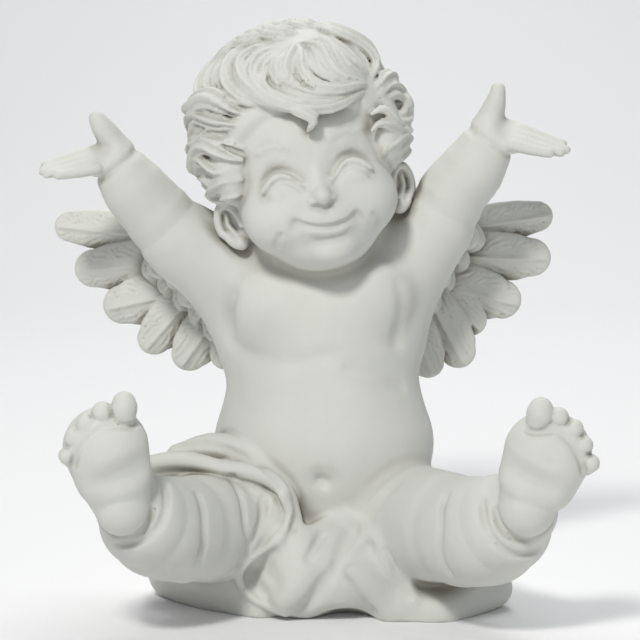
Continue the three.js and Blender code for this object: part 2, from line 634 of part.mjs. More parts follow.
const clothFolds = [ // [x, z] points from the front, depth and width. A negative depth is a ridge.
  [[[-3.9, 17], [-4.6, 14.6], [-6.4, 12.3], [-8.8, 10.4], [-10.8, 9.2], [-11.6, 7.6], [-11, 5.8],
    [-9.2, 4.4]], 1, 0.9],
  [[[-9.2, 8.6], [-7.6, 6.6]], 0.9, 1.8],
  [[[-6.1, 13.1], [-2.2, 14.2], [3.6, 16], [6, 15.6], [9.5, 13.2], [11.9, 9.5], [15, 3.6]], -1.3, 1.5],
  [[[-1.8, 12], [-3, 9], [-4.6, 6], [-6, 3.6]], -1.1, 2.2],
  [[[4.6, 9.4], [7.4, 7.6], [10, 4.4], [12, 2.4]], -1.2, 2.2],
  [[[5.4, 15], [3.8, 12.3], [2.9, 9.8], [0.9, 7.2], [-1.4, 4], [-3.6, 2]], 1.5, 0.9],
  [[[8.2, 12.6], [5.4, 11.2], [2.9, 9.8]], 1.3, 0.7],
  [[[-9.4, 20.4], [-9.6, 17.4], [-10.9, 14.4], [-12, 12.2]], 1, 0.7],
  [[[-14.6, 24], [-13.1, 21.2], [-12.4, 17.4], [-11.9, 14], [-12.9, 11.4], [-14.5, 9]], 0.9, 0.6],
  [[[-23, 28.6], [-18, 28.4], [-13, 27], [-9, 25.4], [-6.4, 22.8]], 0.6, 0.7],
  [[[-25, 8.2], [-19.7, 6.5], [-16, 7]], 1.2, 0.8]
];

function cloth() {
  add(egg([1, -2.6, 5], [31, 17.4, 7.6]), 2); // mound
  add(tube(cloths.baseRight), 3);
  add(tube(cloths.baseLeft), 3);
  add(egg([2.4, -14, 6.6], [13.6, 9, 8.6]), 2); // apron between the legs
  add(tube([[-4, -17.4, 6, 5.6], [-6.5, -16.6, 13, 4.2]]), 2);
  add(egg([-17.6, -9.6, 20.6], [7.4, 9.6, 5.4]), 1.5); // over the thigh
  add(tube(smooth(cloths.overHip, 3)), 0.9);
  add(tube(cloths.sheet), 1);
  add(tube([[-27.6, -15.2, 24.8, 1.5], [-16, -15.4, 24, 2.4]]), 1); // under the roll
  add(tube(smooth(cloths.roll, 3)), 0.45);
  const line = onFront(hem.line).map(([x, y, z]) => [x, y, z, hem.radius]);
  add(tube(smooth(line, 3)), 0.5);
  for (const [points, depth, width] of clothFolds) pressFront(points, depth, width);
}

// From clay to a closed mesh

const cellCorners = [[0, 0, 0], [1, 0, 0], [1, 1, 0], [0, 1, 0], [0, 0, 1], [1, 0, 1], [1, 1, 1],
  [0, 1, 1]];
const cellEdges = [[0, 1], [1, 2], [2, 3], [3, 0], [4, 5], [5, 6], [6, 7], [7, 4], [0, 4], [1, 5],
  [2, 6], [3, 7]];

function castMesh() {
  const points = [];
  const faces = [];
  const known = new Map(); // the point on each grid edge, by the edge's two sample numbers
  const samples = field.length;
  const pointOn = (i, j, k, [from, to]) => {
    const ends = [cellCorners[from], cellCorners[to]].map(([a, b, c]) => [i + a, j + b, k + c]);
    const at = ends.map((q) => sampleIndex(...q));
    const key = Math.min(...at) * samples + Math.max(...at);
    if (!known.has(key)) {
      const cut = THREE.MathUtils.clamp(field[at[0]] / (field[at[0]] - field[at[1]]), 0.04, 0.96);
      known.set(key, points.length / 3);
      for (const axis of [0, 1, 2]) {
        points.push(clayLow[axis] + mix(ends[0][axis], ends[1][axis], cut) * sampleStep);
      }
    }
    return known.get(key);
  };
  for (let k = 0; k < counts[2] - 1; k++) {
    for (let j = 0; j < counts[1] - 1; j++) {
      for (let i = 0; i < counts[0] - 1; i++) {
        let inside = 0;
        cellCorners.forEach(([a, b, c], n) => {
          if (field[sampleIndex(i + a, j + b, k + c)] < 0) inside |= 1 << n;
        });
        if (!edgeTable[inside]) continue;
        for (let n = inside * 16; triTable[n] >= 0; n += 3) {
          const corner = [2, 1, 0].map((m) => pointOn(i, j, k, cellEdges[triTable[n + m]]));
          faces.push(...corner);
        }
      }
    }
  }
  return { points, faces };
}

// Keeps the largest body of a mesh: a crumb of clay that touches nothing is dropped.
function largestBody({ points, faces }) {
  const parent = Int32Array.from({ length: points.length / 3 }, (_, n) => n);
  const rootOf = (n) => {
    while (parent[n] !== n) {
      parent[n] = parent[parent[n]];
      n = parent[n];
    }
    return n;
  };
  for (let f = 0; f < faces.length; f += 3) {
    parent[rootOf(faces[f + 1])] = rootOf(faces[f]);
    parent[rootOf(faces[f + 2])] = rootOf(faces[f]);
  }
  const sizes = new Map();
  for (let f = 0; f < faces.length; f += 3) {
    const root = rootOf(faces[f]);
    sizes.set(root, (sizes.get(root) ?? 0) + 1);
  }
  const [main] = [...sizes].sort((a, b) => b[1] - a[1])[0];
  const kept = [];
  for (let f = 0; f < faces.length; f += 3) {
    if (rootOf(faces[f]) === main) kept.push(faces[f], faces[f + 1], faces[f + 2]);
  }
  return { points, faces: kept };
}

// A queue that gives back the entry with the lowest cost.
class Queue {
  constructor() {
    this.entries = [];
  }

  push(entry) {
    const heap = this.entries;
    let at = heap.push(entry) - 1;
    while (at > 0) {
      const above = (at - 1) >> 1;
      if (heap[above].cost <= entry.cost) break;
      heap[at] = heap[above];
      at = above;
    }
    heap[at] = entry;
  }

  pop() {
    const heap = this.entries;
    const top = heap[0];
    const last = heap.pop();
    if (!heap.length) return top;
    let at = 0;
    for (;;) {
      let below = 2 * at + 1;
      if (below >= heap.length) break;
      if (below + 1 < heap.length && heap[below + 1].cost < heap[below].cost) below++;
      if (heap[below].cost >= last.cost) break;
      heap[at] = heap[below];
      at = below;
    }
    heap[at] = last;
    return top;
  }
}

// Thins a closed mesh to a number of triangles by joining the two ends of an edge, the least
// noticed edge first. A join that would pinch the surface or turn a triangle over is left out.
function thin({ points, faces }, budget) {
  const count = points.length / 3;
  const place = Float64Array.from(points);
  const corners = Int32Array.from(faces);
  const around = Array.from({ length: count }, () => new Set());
  const error = new Float64Array(count * 10); // a symmetric 4 by 4 matrix for each point
  const changes = new Int32Array(count);
  const standing = new Uint8Array(faces.length / 3).fill(1);
  const a = new THREE.Vector3();
  const b = new THREE.Vector3();
  const c = new THREE.Vector3();
  const normalOf = (p, q, r) => {
    b.copy(q).sub(p);
    c.copy(r).sub(p);
    return b.cross(c).clone();
  };
  const at = (n) => new THREE.Vector3(place[3 * n], place[3 * n + 1], place[3 * n + 2]);

  for (let f = 0; f < standing.length; f++) {
    const [p, q, r] = corners.subarray(3 * f, 3 * f + 3);
    const normal = normalOf(at(p), at(q), at(r));
    const area = normal.length() / 2;
    normal.normalize();
    const plane = [normal.x, normal.y, normal.z, -normal.dot(at(p))];
    for (const n of [p, q, r]) {
      around[n].add(f);
      let slot = n * 10;
      for (let row = 0; row < 4; row++) {
        for (let column = row; column < 4; column++) {
          error[slot++] += plane[row] * plane[column] * area;
        }
      }
    }
  }

  const errorAt = (e, p) => e[0] * p.x * p.x + 2 * e[1] * p.x * p.y + 2 * e[2] * p.x * p.z
    + 2 * e[3] * p.x + e[4] * p.y * p.y + 2 * e[5] * p.y * p.z + 2 * e[6] * p.y
    + e[7] * p.z * p.z + 2 * e[8] * p.z + e[9];
  const matrix = new THREE.Matrix3();
  const best = (u, v) => {
    const e = Array.from({ length: 10 }, (_, n) => error[u * 10 + n] + error[v * 10 + n]);
    const [from, to] = [at(u), at(v)];
    const options = [from, to, from.clone().lerp(to, 0.5)];
    matrix.set(e[0], e[1], e[2], e[1], e[4], e[5], e[2], e[5], e[7]);
    if (Math.abs(matrix.determinant()) > 1e-5) {
      a.set(-e[3], -e[6], -e[8]).applyMatrix3(matrix.invert());
      if (a.distanceTo(options[2]) < 2 * from.distanceTo(to)) options.push(a.clone());
    }
    const costs = options.map((p) => errorAt(e, p));
    const pick = costs.indexOf(Math.min(...costs));
    return { target: options[pick], cost: Math.max(costs[pick], 0) + 1e-4 * from.distanceToSquared(to) };
  };
  const neighbours = (n) => {
    const found = new Set();
    for (const f of around[n]) for (let m = 0; m < 3; m++) found.add(corners[3 * f + m]);
    found.delete(n);
    return found;
  };
  const queue = new Queue();
  const offer = (u, v) => {
    const { target, cost } = best(u, v);
    queue.push({ cost, target, u, v, seen: changes[u] + changes[v] });
  };
  for (let f = 0; f < standing.length; f++) {
    for (let m = 0; m < 3; m++) {
      const [u, v] = [corners[3 * f + m], corners[3 * f + ((m + 1) % 3)]];
      if (u < v) offer(u, v);
    }
  }
  const turnsOver = (n, other, target) => {
    for (const f of around[n]) {
      const own = [corners[3 * f], corners[3 * f + 1], corners[3 * f + 2]];
      if (own.includes(other)) continue;
      const before = normalOf(...own.map(at));
      const after = normalOf(...own.map((m) => (m === n ? target : at(m))));
      if (before.dot(after) < 0.25 * before.length() * after.length()) return true;
      if (after.length() < 1e-5) return true;
    }
    return false;
  };

  let left = standing.length;
  while (left > budget && queue.entries.length) {
    const { target, u, v, seen } = queue.pop();
    if (changes[u] < 0 || changes[v] < 0 || changes[u] + changes[v] !== seen) continue;
    const shared = [...neighbours(u)].filter((n) => neighbours(v).has(n));
    if (shared.length !== 2 || turnsOver(u, v, target) || turnsOver(v, u, target)) continue;
    for (const f of around[v]) {
      const own = corners.subarray(3 * f, 3 * f + 3);
      if (own.includes(u)) {
        for (const n of own) if (n !== v) around[n].delete(f);
        standing[f] = 0;
        left--;
      } else {
        own[own.indexOf(v)] = u;
        around[u].add(f);
      }
    }
    target.toArray(place, 3 * u);
    for (let n = 0; n < 10; n++) error[u * 10 + n] += error[v * 10 + n];
    changes[u]++;
    changes[v] = -1;
    for (const n of neighbours(u)) offer(Math.min(u, n), Math.max(u, n));
  }
  const kept = [];
  standing.forEach((stands, f) => {
    if (stands) kept.push(...corners.subarray(3 * f, 3 * f + 3));
  });
  return { points: place, faces: kept };
}

// The finished solid, in millimetres, cut level at the ground

function solidFrom(wasm, points, faces) {
  const numbers = new Map();
  const vertices = [];
  const triangles = faces.map((n) => {
    if (!numbers.has(n)) {
      numbers.set(n, numbers.size);
      vertices.push(points[3 * n], points[3 * n + 1], points[3 * n + 2]);
    }
    return numbers.get(n);
  });
  return new wasm.Manifold(new wasm.Mesh({
    numProp: 3,
    vertProperties: Float32Array.from(vertices),
    triVerts: Uint32Array.from(triangles)
  }));
}

async function cutLevel({ points, faces }) {
  const wasm = await Module();
  wasm.setup();
  const casting = solidFrom(wasm, Array.from(points, (v) => v * part), faces);
  const block = new THREE.BoxGeometry(2 * height, 2 * height, height).toNonIndexed();
  block.translate(0, 0, -height / 2);
  const corners = new Map();
  const blockPoints = [];
  const blockFaces = [];
  const position = block.getAttribute('position');
  for (let n = 0; n < position.count; n++) {
    const q = [position.getX(n), position.getY(n), position.getZ(n)];
    const key = q.join();
    if (!corners.has(key)) {
      corners.set(key, blockPoints.length / 3);
      blockPoints.push(...q);
    }
    blockFaces.push(corners.get(key));
  }
  const level = casting.subtract(solidFrom(wasm, blockPoints, blockFaces)).getMesh();
  const geometry = new THREE.BufferGeometry();
  geometry.setAttribute('position', new THREE.BufferAttribute(level.vertProperties, 3));
  geometry.setIndex(new THREE.BufferAttribute(level.triVerts, 1));
  return geometry;
}

torso();
legs.forEach(leg);
cloth();
legs.forEach(foot);
for (const [points, depth, width] of Object.values(torsoLines)) pressFront(points, depth, width);
wings.forEach(wing);
arms.forEach(arm);
arms.forEach(hand);
face();
for (const side of [-1, 1]) ear(side);
hair();

const geometry = (await cutLevel(thin(largestBody(castMesh()), triangleBudget))).toNonIndexed();
geometry.computeVertexNormals();

const stone = new THREE.MeshStandardMaterial({ color: stoneColour, roughness: 0.8, metalness: 0 });
const statue = new THREE.Mesh(geometry, stone);
statue.name = 'statue';

const root = new THREE.Group();
root.add(statue);

export default root;
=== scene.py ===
# The looks of a seated putto in pale cast stone: a winged, curly-haired child on a spread cloth.
# The figure is modelled like clay: forms are blended, cut and pressed into one field of distances,
# and the skin of that field becomes the mesh. Sizes of the figure are in parts, and a part is a
# hundredth of the statue's height. X is to the viewer's right, Y to the back and Z up.
import math

import bmesh
import bpy
import numpy as np
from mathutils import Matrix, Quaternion, Vector


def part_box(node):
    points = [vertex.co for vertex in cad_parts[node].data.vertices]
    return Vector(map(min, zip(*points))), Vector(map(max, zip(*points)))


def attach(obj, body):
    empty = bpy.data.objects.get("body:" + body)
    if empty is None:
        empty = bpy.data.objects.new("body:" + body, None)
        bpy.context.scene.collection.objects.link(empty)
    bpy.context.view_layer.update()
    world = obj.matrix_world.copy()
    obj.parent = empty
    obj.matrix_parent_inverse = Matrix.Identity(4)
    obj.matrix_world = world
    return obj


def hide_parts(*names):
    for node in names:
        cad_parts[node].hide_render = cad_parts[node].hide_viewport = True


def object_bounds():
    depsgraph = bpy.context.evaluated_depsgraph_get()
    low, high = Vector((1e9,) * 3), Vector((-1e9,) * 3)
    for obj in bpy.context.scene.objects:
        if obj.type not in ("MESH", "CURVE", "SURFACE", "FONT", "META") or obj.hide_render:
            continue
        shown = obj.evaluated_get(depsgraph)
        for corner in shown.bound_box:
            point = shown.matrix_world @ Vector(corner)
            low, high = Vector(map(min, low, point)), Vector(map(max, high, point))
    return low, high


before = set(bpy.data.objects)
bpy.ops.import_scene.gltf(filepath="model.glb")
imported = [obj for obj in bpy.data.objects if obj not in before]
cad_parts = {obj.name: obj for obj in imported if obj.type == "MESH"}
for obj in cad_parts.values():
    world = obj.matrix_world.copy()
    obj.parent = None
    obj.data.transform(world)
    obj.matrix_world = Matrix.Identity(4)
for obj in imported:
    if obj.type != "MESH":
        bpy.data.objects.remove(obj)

cadBox = [list(corner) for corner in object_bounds()]
boxLow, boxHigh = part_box("statue")
part = round((boxHigh[2] - boxLow[2]) / 100, 4)  # metres
print("part size", part)

claySettings = {
    "low": (-50.4, -48.0, -3.5),  # parts, the corners of the space that is sampled
    "high": (46.2, 22.4, 103.6),
    "step": 0.27,
    "triangles": 192000,
    "boxMargin": 2e-5,  # metres, how far inside the box of the solids the skin ends
}


# The clay: a grid of distances to the surface, negative inside

class Clay:
    def __init__(self, low, high, step):
        self.low = np.array(low, float)
        self.step = step
        self.counts = [int(math.ceil((b - a) / step)) + 1 for a, b in zip(low, high)]
        self.field = np.full(self.counts, 10.0, np.float32)

    def window(self, form, margin):
        first = [max(0, math.ceil((v - margin - a) / self.step)) for v, a in zip(form.low, self.low)]
        last = [min(n, math.floor((v + margin - a) / self.step) + 1)
                for v, a, n in zip(form.high, self.low, self.counts)]
        cut = tuple(slice(a, max(a, b)) for a, b in zip(first, last))
        x, y, z = [(self.low[i] + self.step * np.arange(cut[i].start, cut[i].stop)).astype(np.float32)
                   for i in range(3)]
        return cut, x[:, None, None], y[None, :, None], z[None, None, :]

    def add(self, form, softness):
        cut, x, y, z = self.window(form, softness + 1.5)
        self.field[cut] = blendLow(self.field[cut], form.distance(x, y, z), softness)

    def carve(self, form, softness):
        cut, x, y, z = self.window(form, softness + 1.5)
        self.field[cut] = -blendLow(-self.field[cut], form.distance(x, y, z), softness)

    def press(self, form, depth, width):  # sinks the surface near a form, or swells it
        cut, x, y, z = self.window(form, 2.6 * width)
        away = np.maximum(form.distance(x, y, z), 0) / width
        self.field[cut] += depth * np.exp(-away * away)

    def sample(self, points):
        place = np.clip((points - self.low) / self.step, 0, np.array(self.counts) - 1.001)
        cell = place.astype(int)
        share = (place - cell).astype(np.float32)
        total = 0
        for corner in np.ndindex(2, 2, 2):
            weight = np.prod([share[:, i] if corner[i] else 1 - share[:, i] for i in range(3)], axis=0)
            total = total + weight * self.field[tuple(cell[:, i] + corner[i] for i in range(3))]
        return total

    def slope(self, points):
        reach = self.step * 0.5
        ahead = [self.sample(points + d) - self.sample(points - d) for d in reach * np.eye(3)]
        return np.stack(ahead, 1) / (2 * reach)

    def firstHit(self, start, way, length):  # how far along a line the surface is met
        run = np.arange(0, length, self.step * 0.5)
        values = self.sample(np.array(start) + run[:, None] * np.array(way))
        if values.min() >= 0:
            return length
        hit = max(int(np.argmax(values < 0)), 1)
        before, after = values[hit - 1], values[hit]
        return run[hit - 1] + (run[hit] - run[hit - 1]) * before / (before - after)


def blendLow(a, b, softness):
    h = np.maximum(softness - np.abs(a - b), 0) / softness
    return np.minimum(a, b) - h * h * (softness / 4)


class Egg:
    def __init__(self, centre, radii, turn=None):
        self.centre = centre
        self.radii = radii
        reach = max(radii)
        self.low = [v - reach for v in centre]
        self.high = [v + reach for v in centre]
        self.rows = [list(row) for row in turn.inverted().to_matrix()] if turn else None

    def distance(self, x, y, z):
        p = [x - self.centre[0], y - self.centre[1], z - self.centre[2]]
        if self.rows:
            p = [row[0] * p[0] + row[1] * p[1] + row[2] * p[2] for row in self.rows]
        scaled = [v / r for v, r in zip(p, self.radii)]
        inner = np.sqrt(scaled[0] ** 2 + scaled[1] ** 2 + scaled[2] ** 2)
        slope = np.sqrt(sum((v / r) ** 2 for v, r in zip(scaled, self.radii))) + 1e-6
        return inner * (inner - 1) / slope


class Tube:  # through points (x, y, z, radius), flattened across a direction, with a surface pattern
    # that gets the marks of the nearest stretch: across, along, its radius and how close the rim is
    def __init__(self, points, flat=(0, 0, 1), ratio=1, pattern=None):
        self.points = [tuple(float(v) for v in q) for q in points]
        self.flat = np.array(flat, float) / np.linalg.norm(flat)
        self.ratio = ratio
        self.pattern = pattern
        widest = max(q[3] for q in points)
        self.low = [min(q[i] for q in points) - widest for i in range(3)]
        self.high = [max(q[i] for q in points) + widest for i in range(3)]

    def distance(self, x, y, z):
        n = self.flat
        squeeze = self.ratio - 1
        nearest = None
        run = 0
        for a, b in zip(self.points, self.points[1:]):
            d = np.array(b[:3]) - np.array(a[:3])
            d = d + squeeze * d.dot(n) * n
            square = d.dot(d)
            px, py, pz = x - a[0], y - a[1], z - a[2]
            if squeeze:
                k = squeeze * (px * n[0] + py * n[1] + pz * n[2])
                px, py, pz = px + k * n[0], py + k * n[1], pz + k * n[2]
            t = np.clip((px * d[0] + py * d[1] + pz * d[2]) / square, 0, 1)
            ex, ey, ez = px - t * d[0], py - t * d[1], pz - t * d[2]
            away = np.sqrt(ex * ex + ey * ey + ez * ez) + 1e-9
            radius = a[3] + t * (b[3] - a[3])
            value = away - radius
            if squeeze:
                tilt = (ex * n[0] + ey * n[1] + ez * n[2]) / away
                value = value / np.sqrt(1 + (self.ratio ** 2 - 1) * tilt * tilt)
            if self.pattern:
                side = np.cross(d / math.sqrt(square), n)
                side = side / (np.linalg.norm(side) + 1e-9)
                across = (ex * side[0] + ey * side[1] + ez * side[2]) / (radius + 1e-6)
                rim = away * np.sqrt(np.maximum(1 - tilt * tilt, 0)) / (radius + 1e-6)
                here = (across, run + t * math.sqrt(square), radius, rim)
                if nearest is None:
                    marks = here
                else:
                    marks = [np.where(value < nearest, new, old) for new, old in zip(here, marks)]
                run += math.sqrt(square)
            nearest = value if nearest is None else np.minimum(nearest, value)
        return nearest + self.pattern(*marks) if self.pattern else nearest


class Cut:  # a form with a flat side
    def __init__(self, form, point, normal, softness):
        self.form = form
        self.low = form.low
        self.high = form.high
        self.normal = normal
        self.offset = sum(a * b for a, b in zip(point, normal))
        self.softness = softness

    def distance(self, x, y, z):
        plane = x * self.normal[0] + y * self.normal[1] + z * self.normal[2] - self.offset
        return -blendLow(-self.form.distance(x, y, z), -plane, self.softness)


def ball(x, y, z, radius):
    return Tube([(x, y, z, radius), (x, y, z + 1e-3, radius)])


def mix(a, b, share):
    return a + (b - a) * share


def between(a, b, share):
    return [mix(p, q, share) for p, q in zip(a, b)]


def smooth(points, pieces=4):  # more points on a smooth curve through the given ones
    p = np.array(points, float)
    p = np.vstack([2 * p[0] - p[1], p, 2 * p[-1] - p[-2]])
    curve = []
    for a, b, c, d in zip(p, p[1:], p[2:], p[3:]):
        for t in np.arange(pieces) / pieces:
            q = 0.5 * (2 * b + (c - a) * t + (2 * a - 5 * b + 4 * c - d) * t ** 2
                       + (3 * b - a - 3 * c + d) * t ** 3)
            q[3] = mix(b[3], c[3], t)
            curve.append(q)
    return [list(q) for q in curve] + [list(p[-2])]


clay = Clay(claySettings["low"], claySettings["high"], claySettings["step"])


def onFront(points, way=1):  # lays (x, z) points on the clay, as seen from the front or the back
    start = claySettings["low"][1] if way > 0 else claySettings["high"][1]
    laid = []
    for x, z in points:
        depth = clay.firstHit((x, start, z), (0, way, 0), 60)
        if depth < 60:
            laid.append([x, start + way * depth, z, 0.1])
    return laid


def pressFront(points, depth, width):
    clay.press(Tube(smooth(onFront(points), 3)), depth, width)


# Torso

def addForms(forms, egg=Egg):  # eggs are (centre, radii, softness), tubes (points, softness)
    for *shape, softness in forms.values():
        clay.add(egg(*shape) if len(shape) == 2 else Tube(*shape), softness)


torsoForms = {
    "seat": ((0.7, 1.5, 13.5), (18.5, 14.5, 13), 1),
    "belly": ((0.7, -2.2, 27), (19, 14.8, 15.5), 5),
    "waist": ((0.5, -0.8, 40), (16.2, 12.4, 13), 5),
    "chest": ((0.2, 0, 50.5), (16.4, 11.4, 13), 5),
    "shoulders": ([[-14, 1, 56.8, 7.6], [13, 1, 58.6, 7.6]], 4),
    "rightSide": ([[-16.5, 1, 54.5, 6], [-11.5, 0.5, 45, 6.4]], 4),
    "leftSide": ([[15.5, 1, 57, 6], [11.8, 0.5, 46, 6.4]], 4),
    "neck": ([[0, 2, 57, 9.5], [-0.8, 0.5, 65, 8.5]], 3),
    "rightBreast": ((-7.6, -7.4, 51.5), (7, 4.6, 6), 3.5),
    "leftBreast": ((8, -7.4, 53), (7, 4.6, 6), 3.5),
    "rightButtock": ((-8, 11, 9), (9, 6.5, 8), 2),
    "leftButtock": ((9, 11, 9), (9, 6.5, 8), 2),
}
torsoLines = {
    "underBreast": ([(-14, 43.8), (-9, 42.4), (-3, 42.8), (2, 43.8)], 0.42, 1.5),  # (x, z), depth, width
    "side": ([(5, 41.4), (9, 39.6), (13.6, 38)], 0.42, 1.2),
    "rightArmpit": ([(-14.6, 53), (-15.6, 46)], 0.5, 1.2),
    "leftArmpit": ([(13.4, 55), (13.8, 50), (13, 45)], 0.5, 1.2),
    "navelDip": ([(0.1, 23.2), (0.9, 23)], 1, 2),
    "navel": ([(0.1, 22.9), (0.7, 22.5)], 2, 0.7),
    "groin": ([(12.6, 22.6), (9, 18.4), (6.4, 15.8)], 0.3, 1.2),
}


def makeTorso():
    addForms(torsoForms)
    clay.press(Tube([[0, 13.5, 22, 0.1], [0, 12, 50, 0.1]]), 1.1, 2.2)  # spine
    for x in (-7.5, 7.5):  # shoulder blades
        clay.press(Tube([[x, 11, 54, 1.5], [x * 1.1, 11, 49, 1.5]]), -0.5, 3)


# Arms and hands, the figure's right one at -X first

arms = [
    {
        "limb": [[-15.5, 1, 56.6, 8], [-23.6, 0, 61.8, 7.1], [-28.4, -1, 67, 5.9],
                 [-31.6, -2, 70.8, 5.6], [-34.7, -3, 75.2, 4.3]],
        "palm": [[-34.9, -3, 75.9, 3.4], [-37.4, -4, 76, 3.7], [-40.4, -5, 75.4, 2.5]],
        "fingerRoot": (-38.6, -5.3, 76),
        "fingerWay": (-0.93, -0.25, -0.27),
        "thumb": [[-34.6, -3.2, 77.5, 2.7], [-36, -4, 80, 2.3], [-37.4, -4.8, 82.4, 1.6],
                  [-37.9, -5, 83.2, 1.25]],
    },
    {
        "limb": [[14.5, 1, 58.4, 7.7], [19.7, 0, 64.4, 6.9], [22.8, -1, 70.2, 5.9],
                 [25.9, -2, 74.1, 5.6], [28.9, -3, 79.2, 4.4]],
        "palm": [[29.3, -3, 80, 3.5], [31.8, -4, 80, 3.9], [35, -5, 79.2, 2.6]],
        "fingerRoot": (33.2, -5.3, 80),
        "fingerWay": (0.92, -0.25, -0.32),
        "thumb": [[28.8, -3.2, 82, 2.7], [29.4, -4, 84.4, 2.1], [30, -4.8, 87, 1.4],
                  [30.1, -5, 88, 1.25]],
    },
]
handSizes = {
    "facing": (0, -0.6, 0.8),
    "fingers": (7.8, 8.8, 8.2, 6.6),  # lengths, first finger to little finger
    "radius": 1.02,
    "spacing": 1.5,
    "flatness": 1.75,  # of the palm
    "curl": 0.5,  # how far the finger tips lean towards the palm's side
}


def pressRing(centre, axis, radius, depth, width):  # a crease round a limb
    axis = Vector(axis).normalized()
    side = axis.cross(Vector((0, 0, 1))).normalized()
    up = side.cross(axis)
    points = []
    for n in range(25):
        angle = 2 * math.pi * n / 24
        spot = Vector(centre) + (side * math.cos(angle) + up * math.sin(angle)) * radius
        points.append([*spot, 0.1])
    clay.press(Tube(points), depth, width)


def makeArm(arm):
    limb = arm["limb"]
    clay.add(Tube(smooth(limb)), 2.5)
    wristWay = [b - a for a, b in zip(limb[3], limb[4])][:3]
    pressRing(between(limb[4], arm["palm"][0], 0.4)[:3], wristWay, limb[4][3], 0.55, 0.6)
    elbowWay = [b - a for a, b in zip(limb[1], limb[3])][:3]
    pressRing(between(limb[1], limb[2], 0.6)[:3], elbowWay, mix(limb[1][3], limb[2][3], 0.6), 0.35, 1.3)


def makeHand(arm):
    facing = Vector(handSizes["facing"]).normalized()
    way = Vector(arm["fingerWay"])
    across = facing.cross(way).normalized()
    if across.z < 0:
        across.negate()
    clay.add(Tube(arm["palm"], facing, handSizes["flatness"]), 0.9)
    clay.add(Tube(smooth(arm["thumb"])), 1.2)
    root = Vector(arm["fingerRoot"])
    for n, length in enumerate(handSizes["fingers"]):
        side = (1.5 - n) * handSizes["spacing"]
        points = []
        for share in (0, 0.45, 0.8, 1):
            spot = root + across * side * (1 - 0.25 * share) + way * length * share
            spot += facing * handSizes["curl"] * share * share
            points.append([*spot, handSizes["radius"] * mix(1.1, 0.75, share)])
        clay.add(Tube(points), 0.3)
    hollow = Vector(arm["palm"][1][:3]) + facing * 2.3
    clay.press(ball(*hollow, 0.8), 0.5, 1.6)


# The head's own frame: x to the figure's left ear, y to the back and z up

headCentre = Vector((-1.87, -4.5, 73.3))
headTurn = Quaternion((0, 1, 0), -math.radians(12.5)) @ Quaternion((0, 0, 1), math.radians(6))


def inHead(x, y, z):
    return list(headTurn @ Vector((x, y, z)) + headCentre)


def headEgg(centre, radii):
    return Egg(inHead(*centre), radii, headTurn)


def headTube(points, flat=(0, 0, 1), ratio=1, pattern=None):
    facing = list(headTurn @ Vector(flat))
    return Tube([inHead(*q[:3]) + [q[3]] for q in points], facing, ratio, pattern)


faceForms = {
    "cranium": ((0, 1.5, 7.5), (15.6, 16, 15.6), 3),
    "lowerFace": ((0, -3.6, -4), (12.9, 12, 10.6), 4),
    "rightCheek": ((-7.4, -9.2, -5.2), (5.4, 5, 5.2), 3),
    "leftCheek": ((7.4, -9.2, -5.2), (5.4, 5, 5.2), 3),
    "underChin": ((0, -8, -11), (7.4, 5.4, 4.2), 2.5),
    "chin": ((0.2, -11.9, -12), (3.6, 2.9, 2.5), 1.8),
    "mouth": ((0, -12.3, -6.6), (4.8, 3.1, 3), 1.8),
}
eyeSizes = {"across": 5.9, "height": -0.3, "half": 3.2, "rise": 2.2}
faceMarks = {  # (x, z) points on the figure's left half, depth and width, mirrored on the right
    "brow": ([(4, 6.4), (6.4, 7.2), (8.6, 6.2)], -0.22, 0.8),
    "browLine": ([(5, 7), (6.6, 7.4), (8, 7)], 0.3, 0.32),
    "underBrow": ([(4.4, 5.4), (6.6, 6.2), (8.6, 5.2)], 0.2, 0.7),
    "cheekFold": ([(2.9, -3.4), (4.4, -4.4), (5.8, -5.8)], 0.18, 1.1),
    "dimple": ([(8, -7.7), (8.6, -8.6), (8.7, -9.6)], 0.55, 0.42),
}


def onFace(x, z):
    start = inHead(x, -24, z)
    way = headTurn @ Vector((0, 1, 0))
    return [x, -24 + clay.firstHit(start, way, 22), z, 0.1]


def pressFace(points, depth, width):
    clay.press(headTube(smooth([onFace(x, z) for x, z in points], 3)), depth, width)


def makeEye(side):
    middle = side * eyeSizes["across"]
    level = eyeSizes["height"]
    pressFace([(side * 6.9, 2.8), (side * 4.2, 2.9), (side * 2.2, 1.2)], 0.5, 1.5)
    clay.add(headEgg((middle, onFace(middle, level)[1] + 0.9, level + 0.1), (3.4, 1.5, 2.1)), 1.1)

    def arc(rise, lift, reach):  # the lid's crease, its edge and the line under it
        shares = np.linspace(-1, 1, 7)
        return [(middle + u * reach, level + lift + rise * (1 - u * u)) for u in shares]

    pressFace(arc(eyeSizes["rise"], 0.8, eyeSizes["half"] + 0.1), 1.1, 0.44)
    pressFace(arc(eyeSizes["rise"], 0.05, eyeSizes["half"] - 0.1), -0.6, 0.44)
    pressFace(arc(eyeSizes["rise"] - 0.1, -0.75, eyeSizes["half"] - 0.1), 1.4, 0.42)
    for points, depth, width in faceMarks.values():
        pressFace([(side * x, z) for x, z in points], depth, width)


def makeNose():
    clay.add(headTube([[0, -13.4, 1.2, 1.1], [0, -14.6, -1.4, 1.2], [0.1, -15.9, -2.7, 1.45]]), 1)
    for side in (-1, 1):
        clay.add(headEgg((side * 1.55, -14.9, -3.3), (0.95, 1.2, 0.85)), 0.5)
        spot = onFace(side * 1.15, -4.35)
        clay.press(headTube([spot, [spot[0] + side * 0.5, *spot[1:]]]), 0.9, 0.4)


mouthSizes = {"tilt": -0.09, "half": 4.8, "level": -7.9}


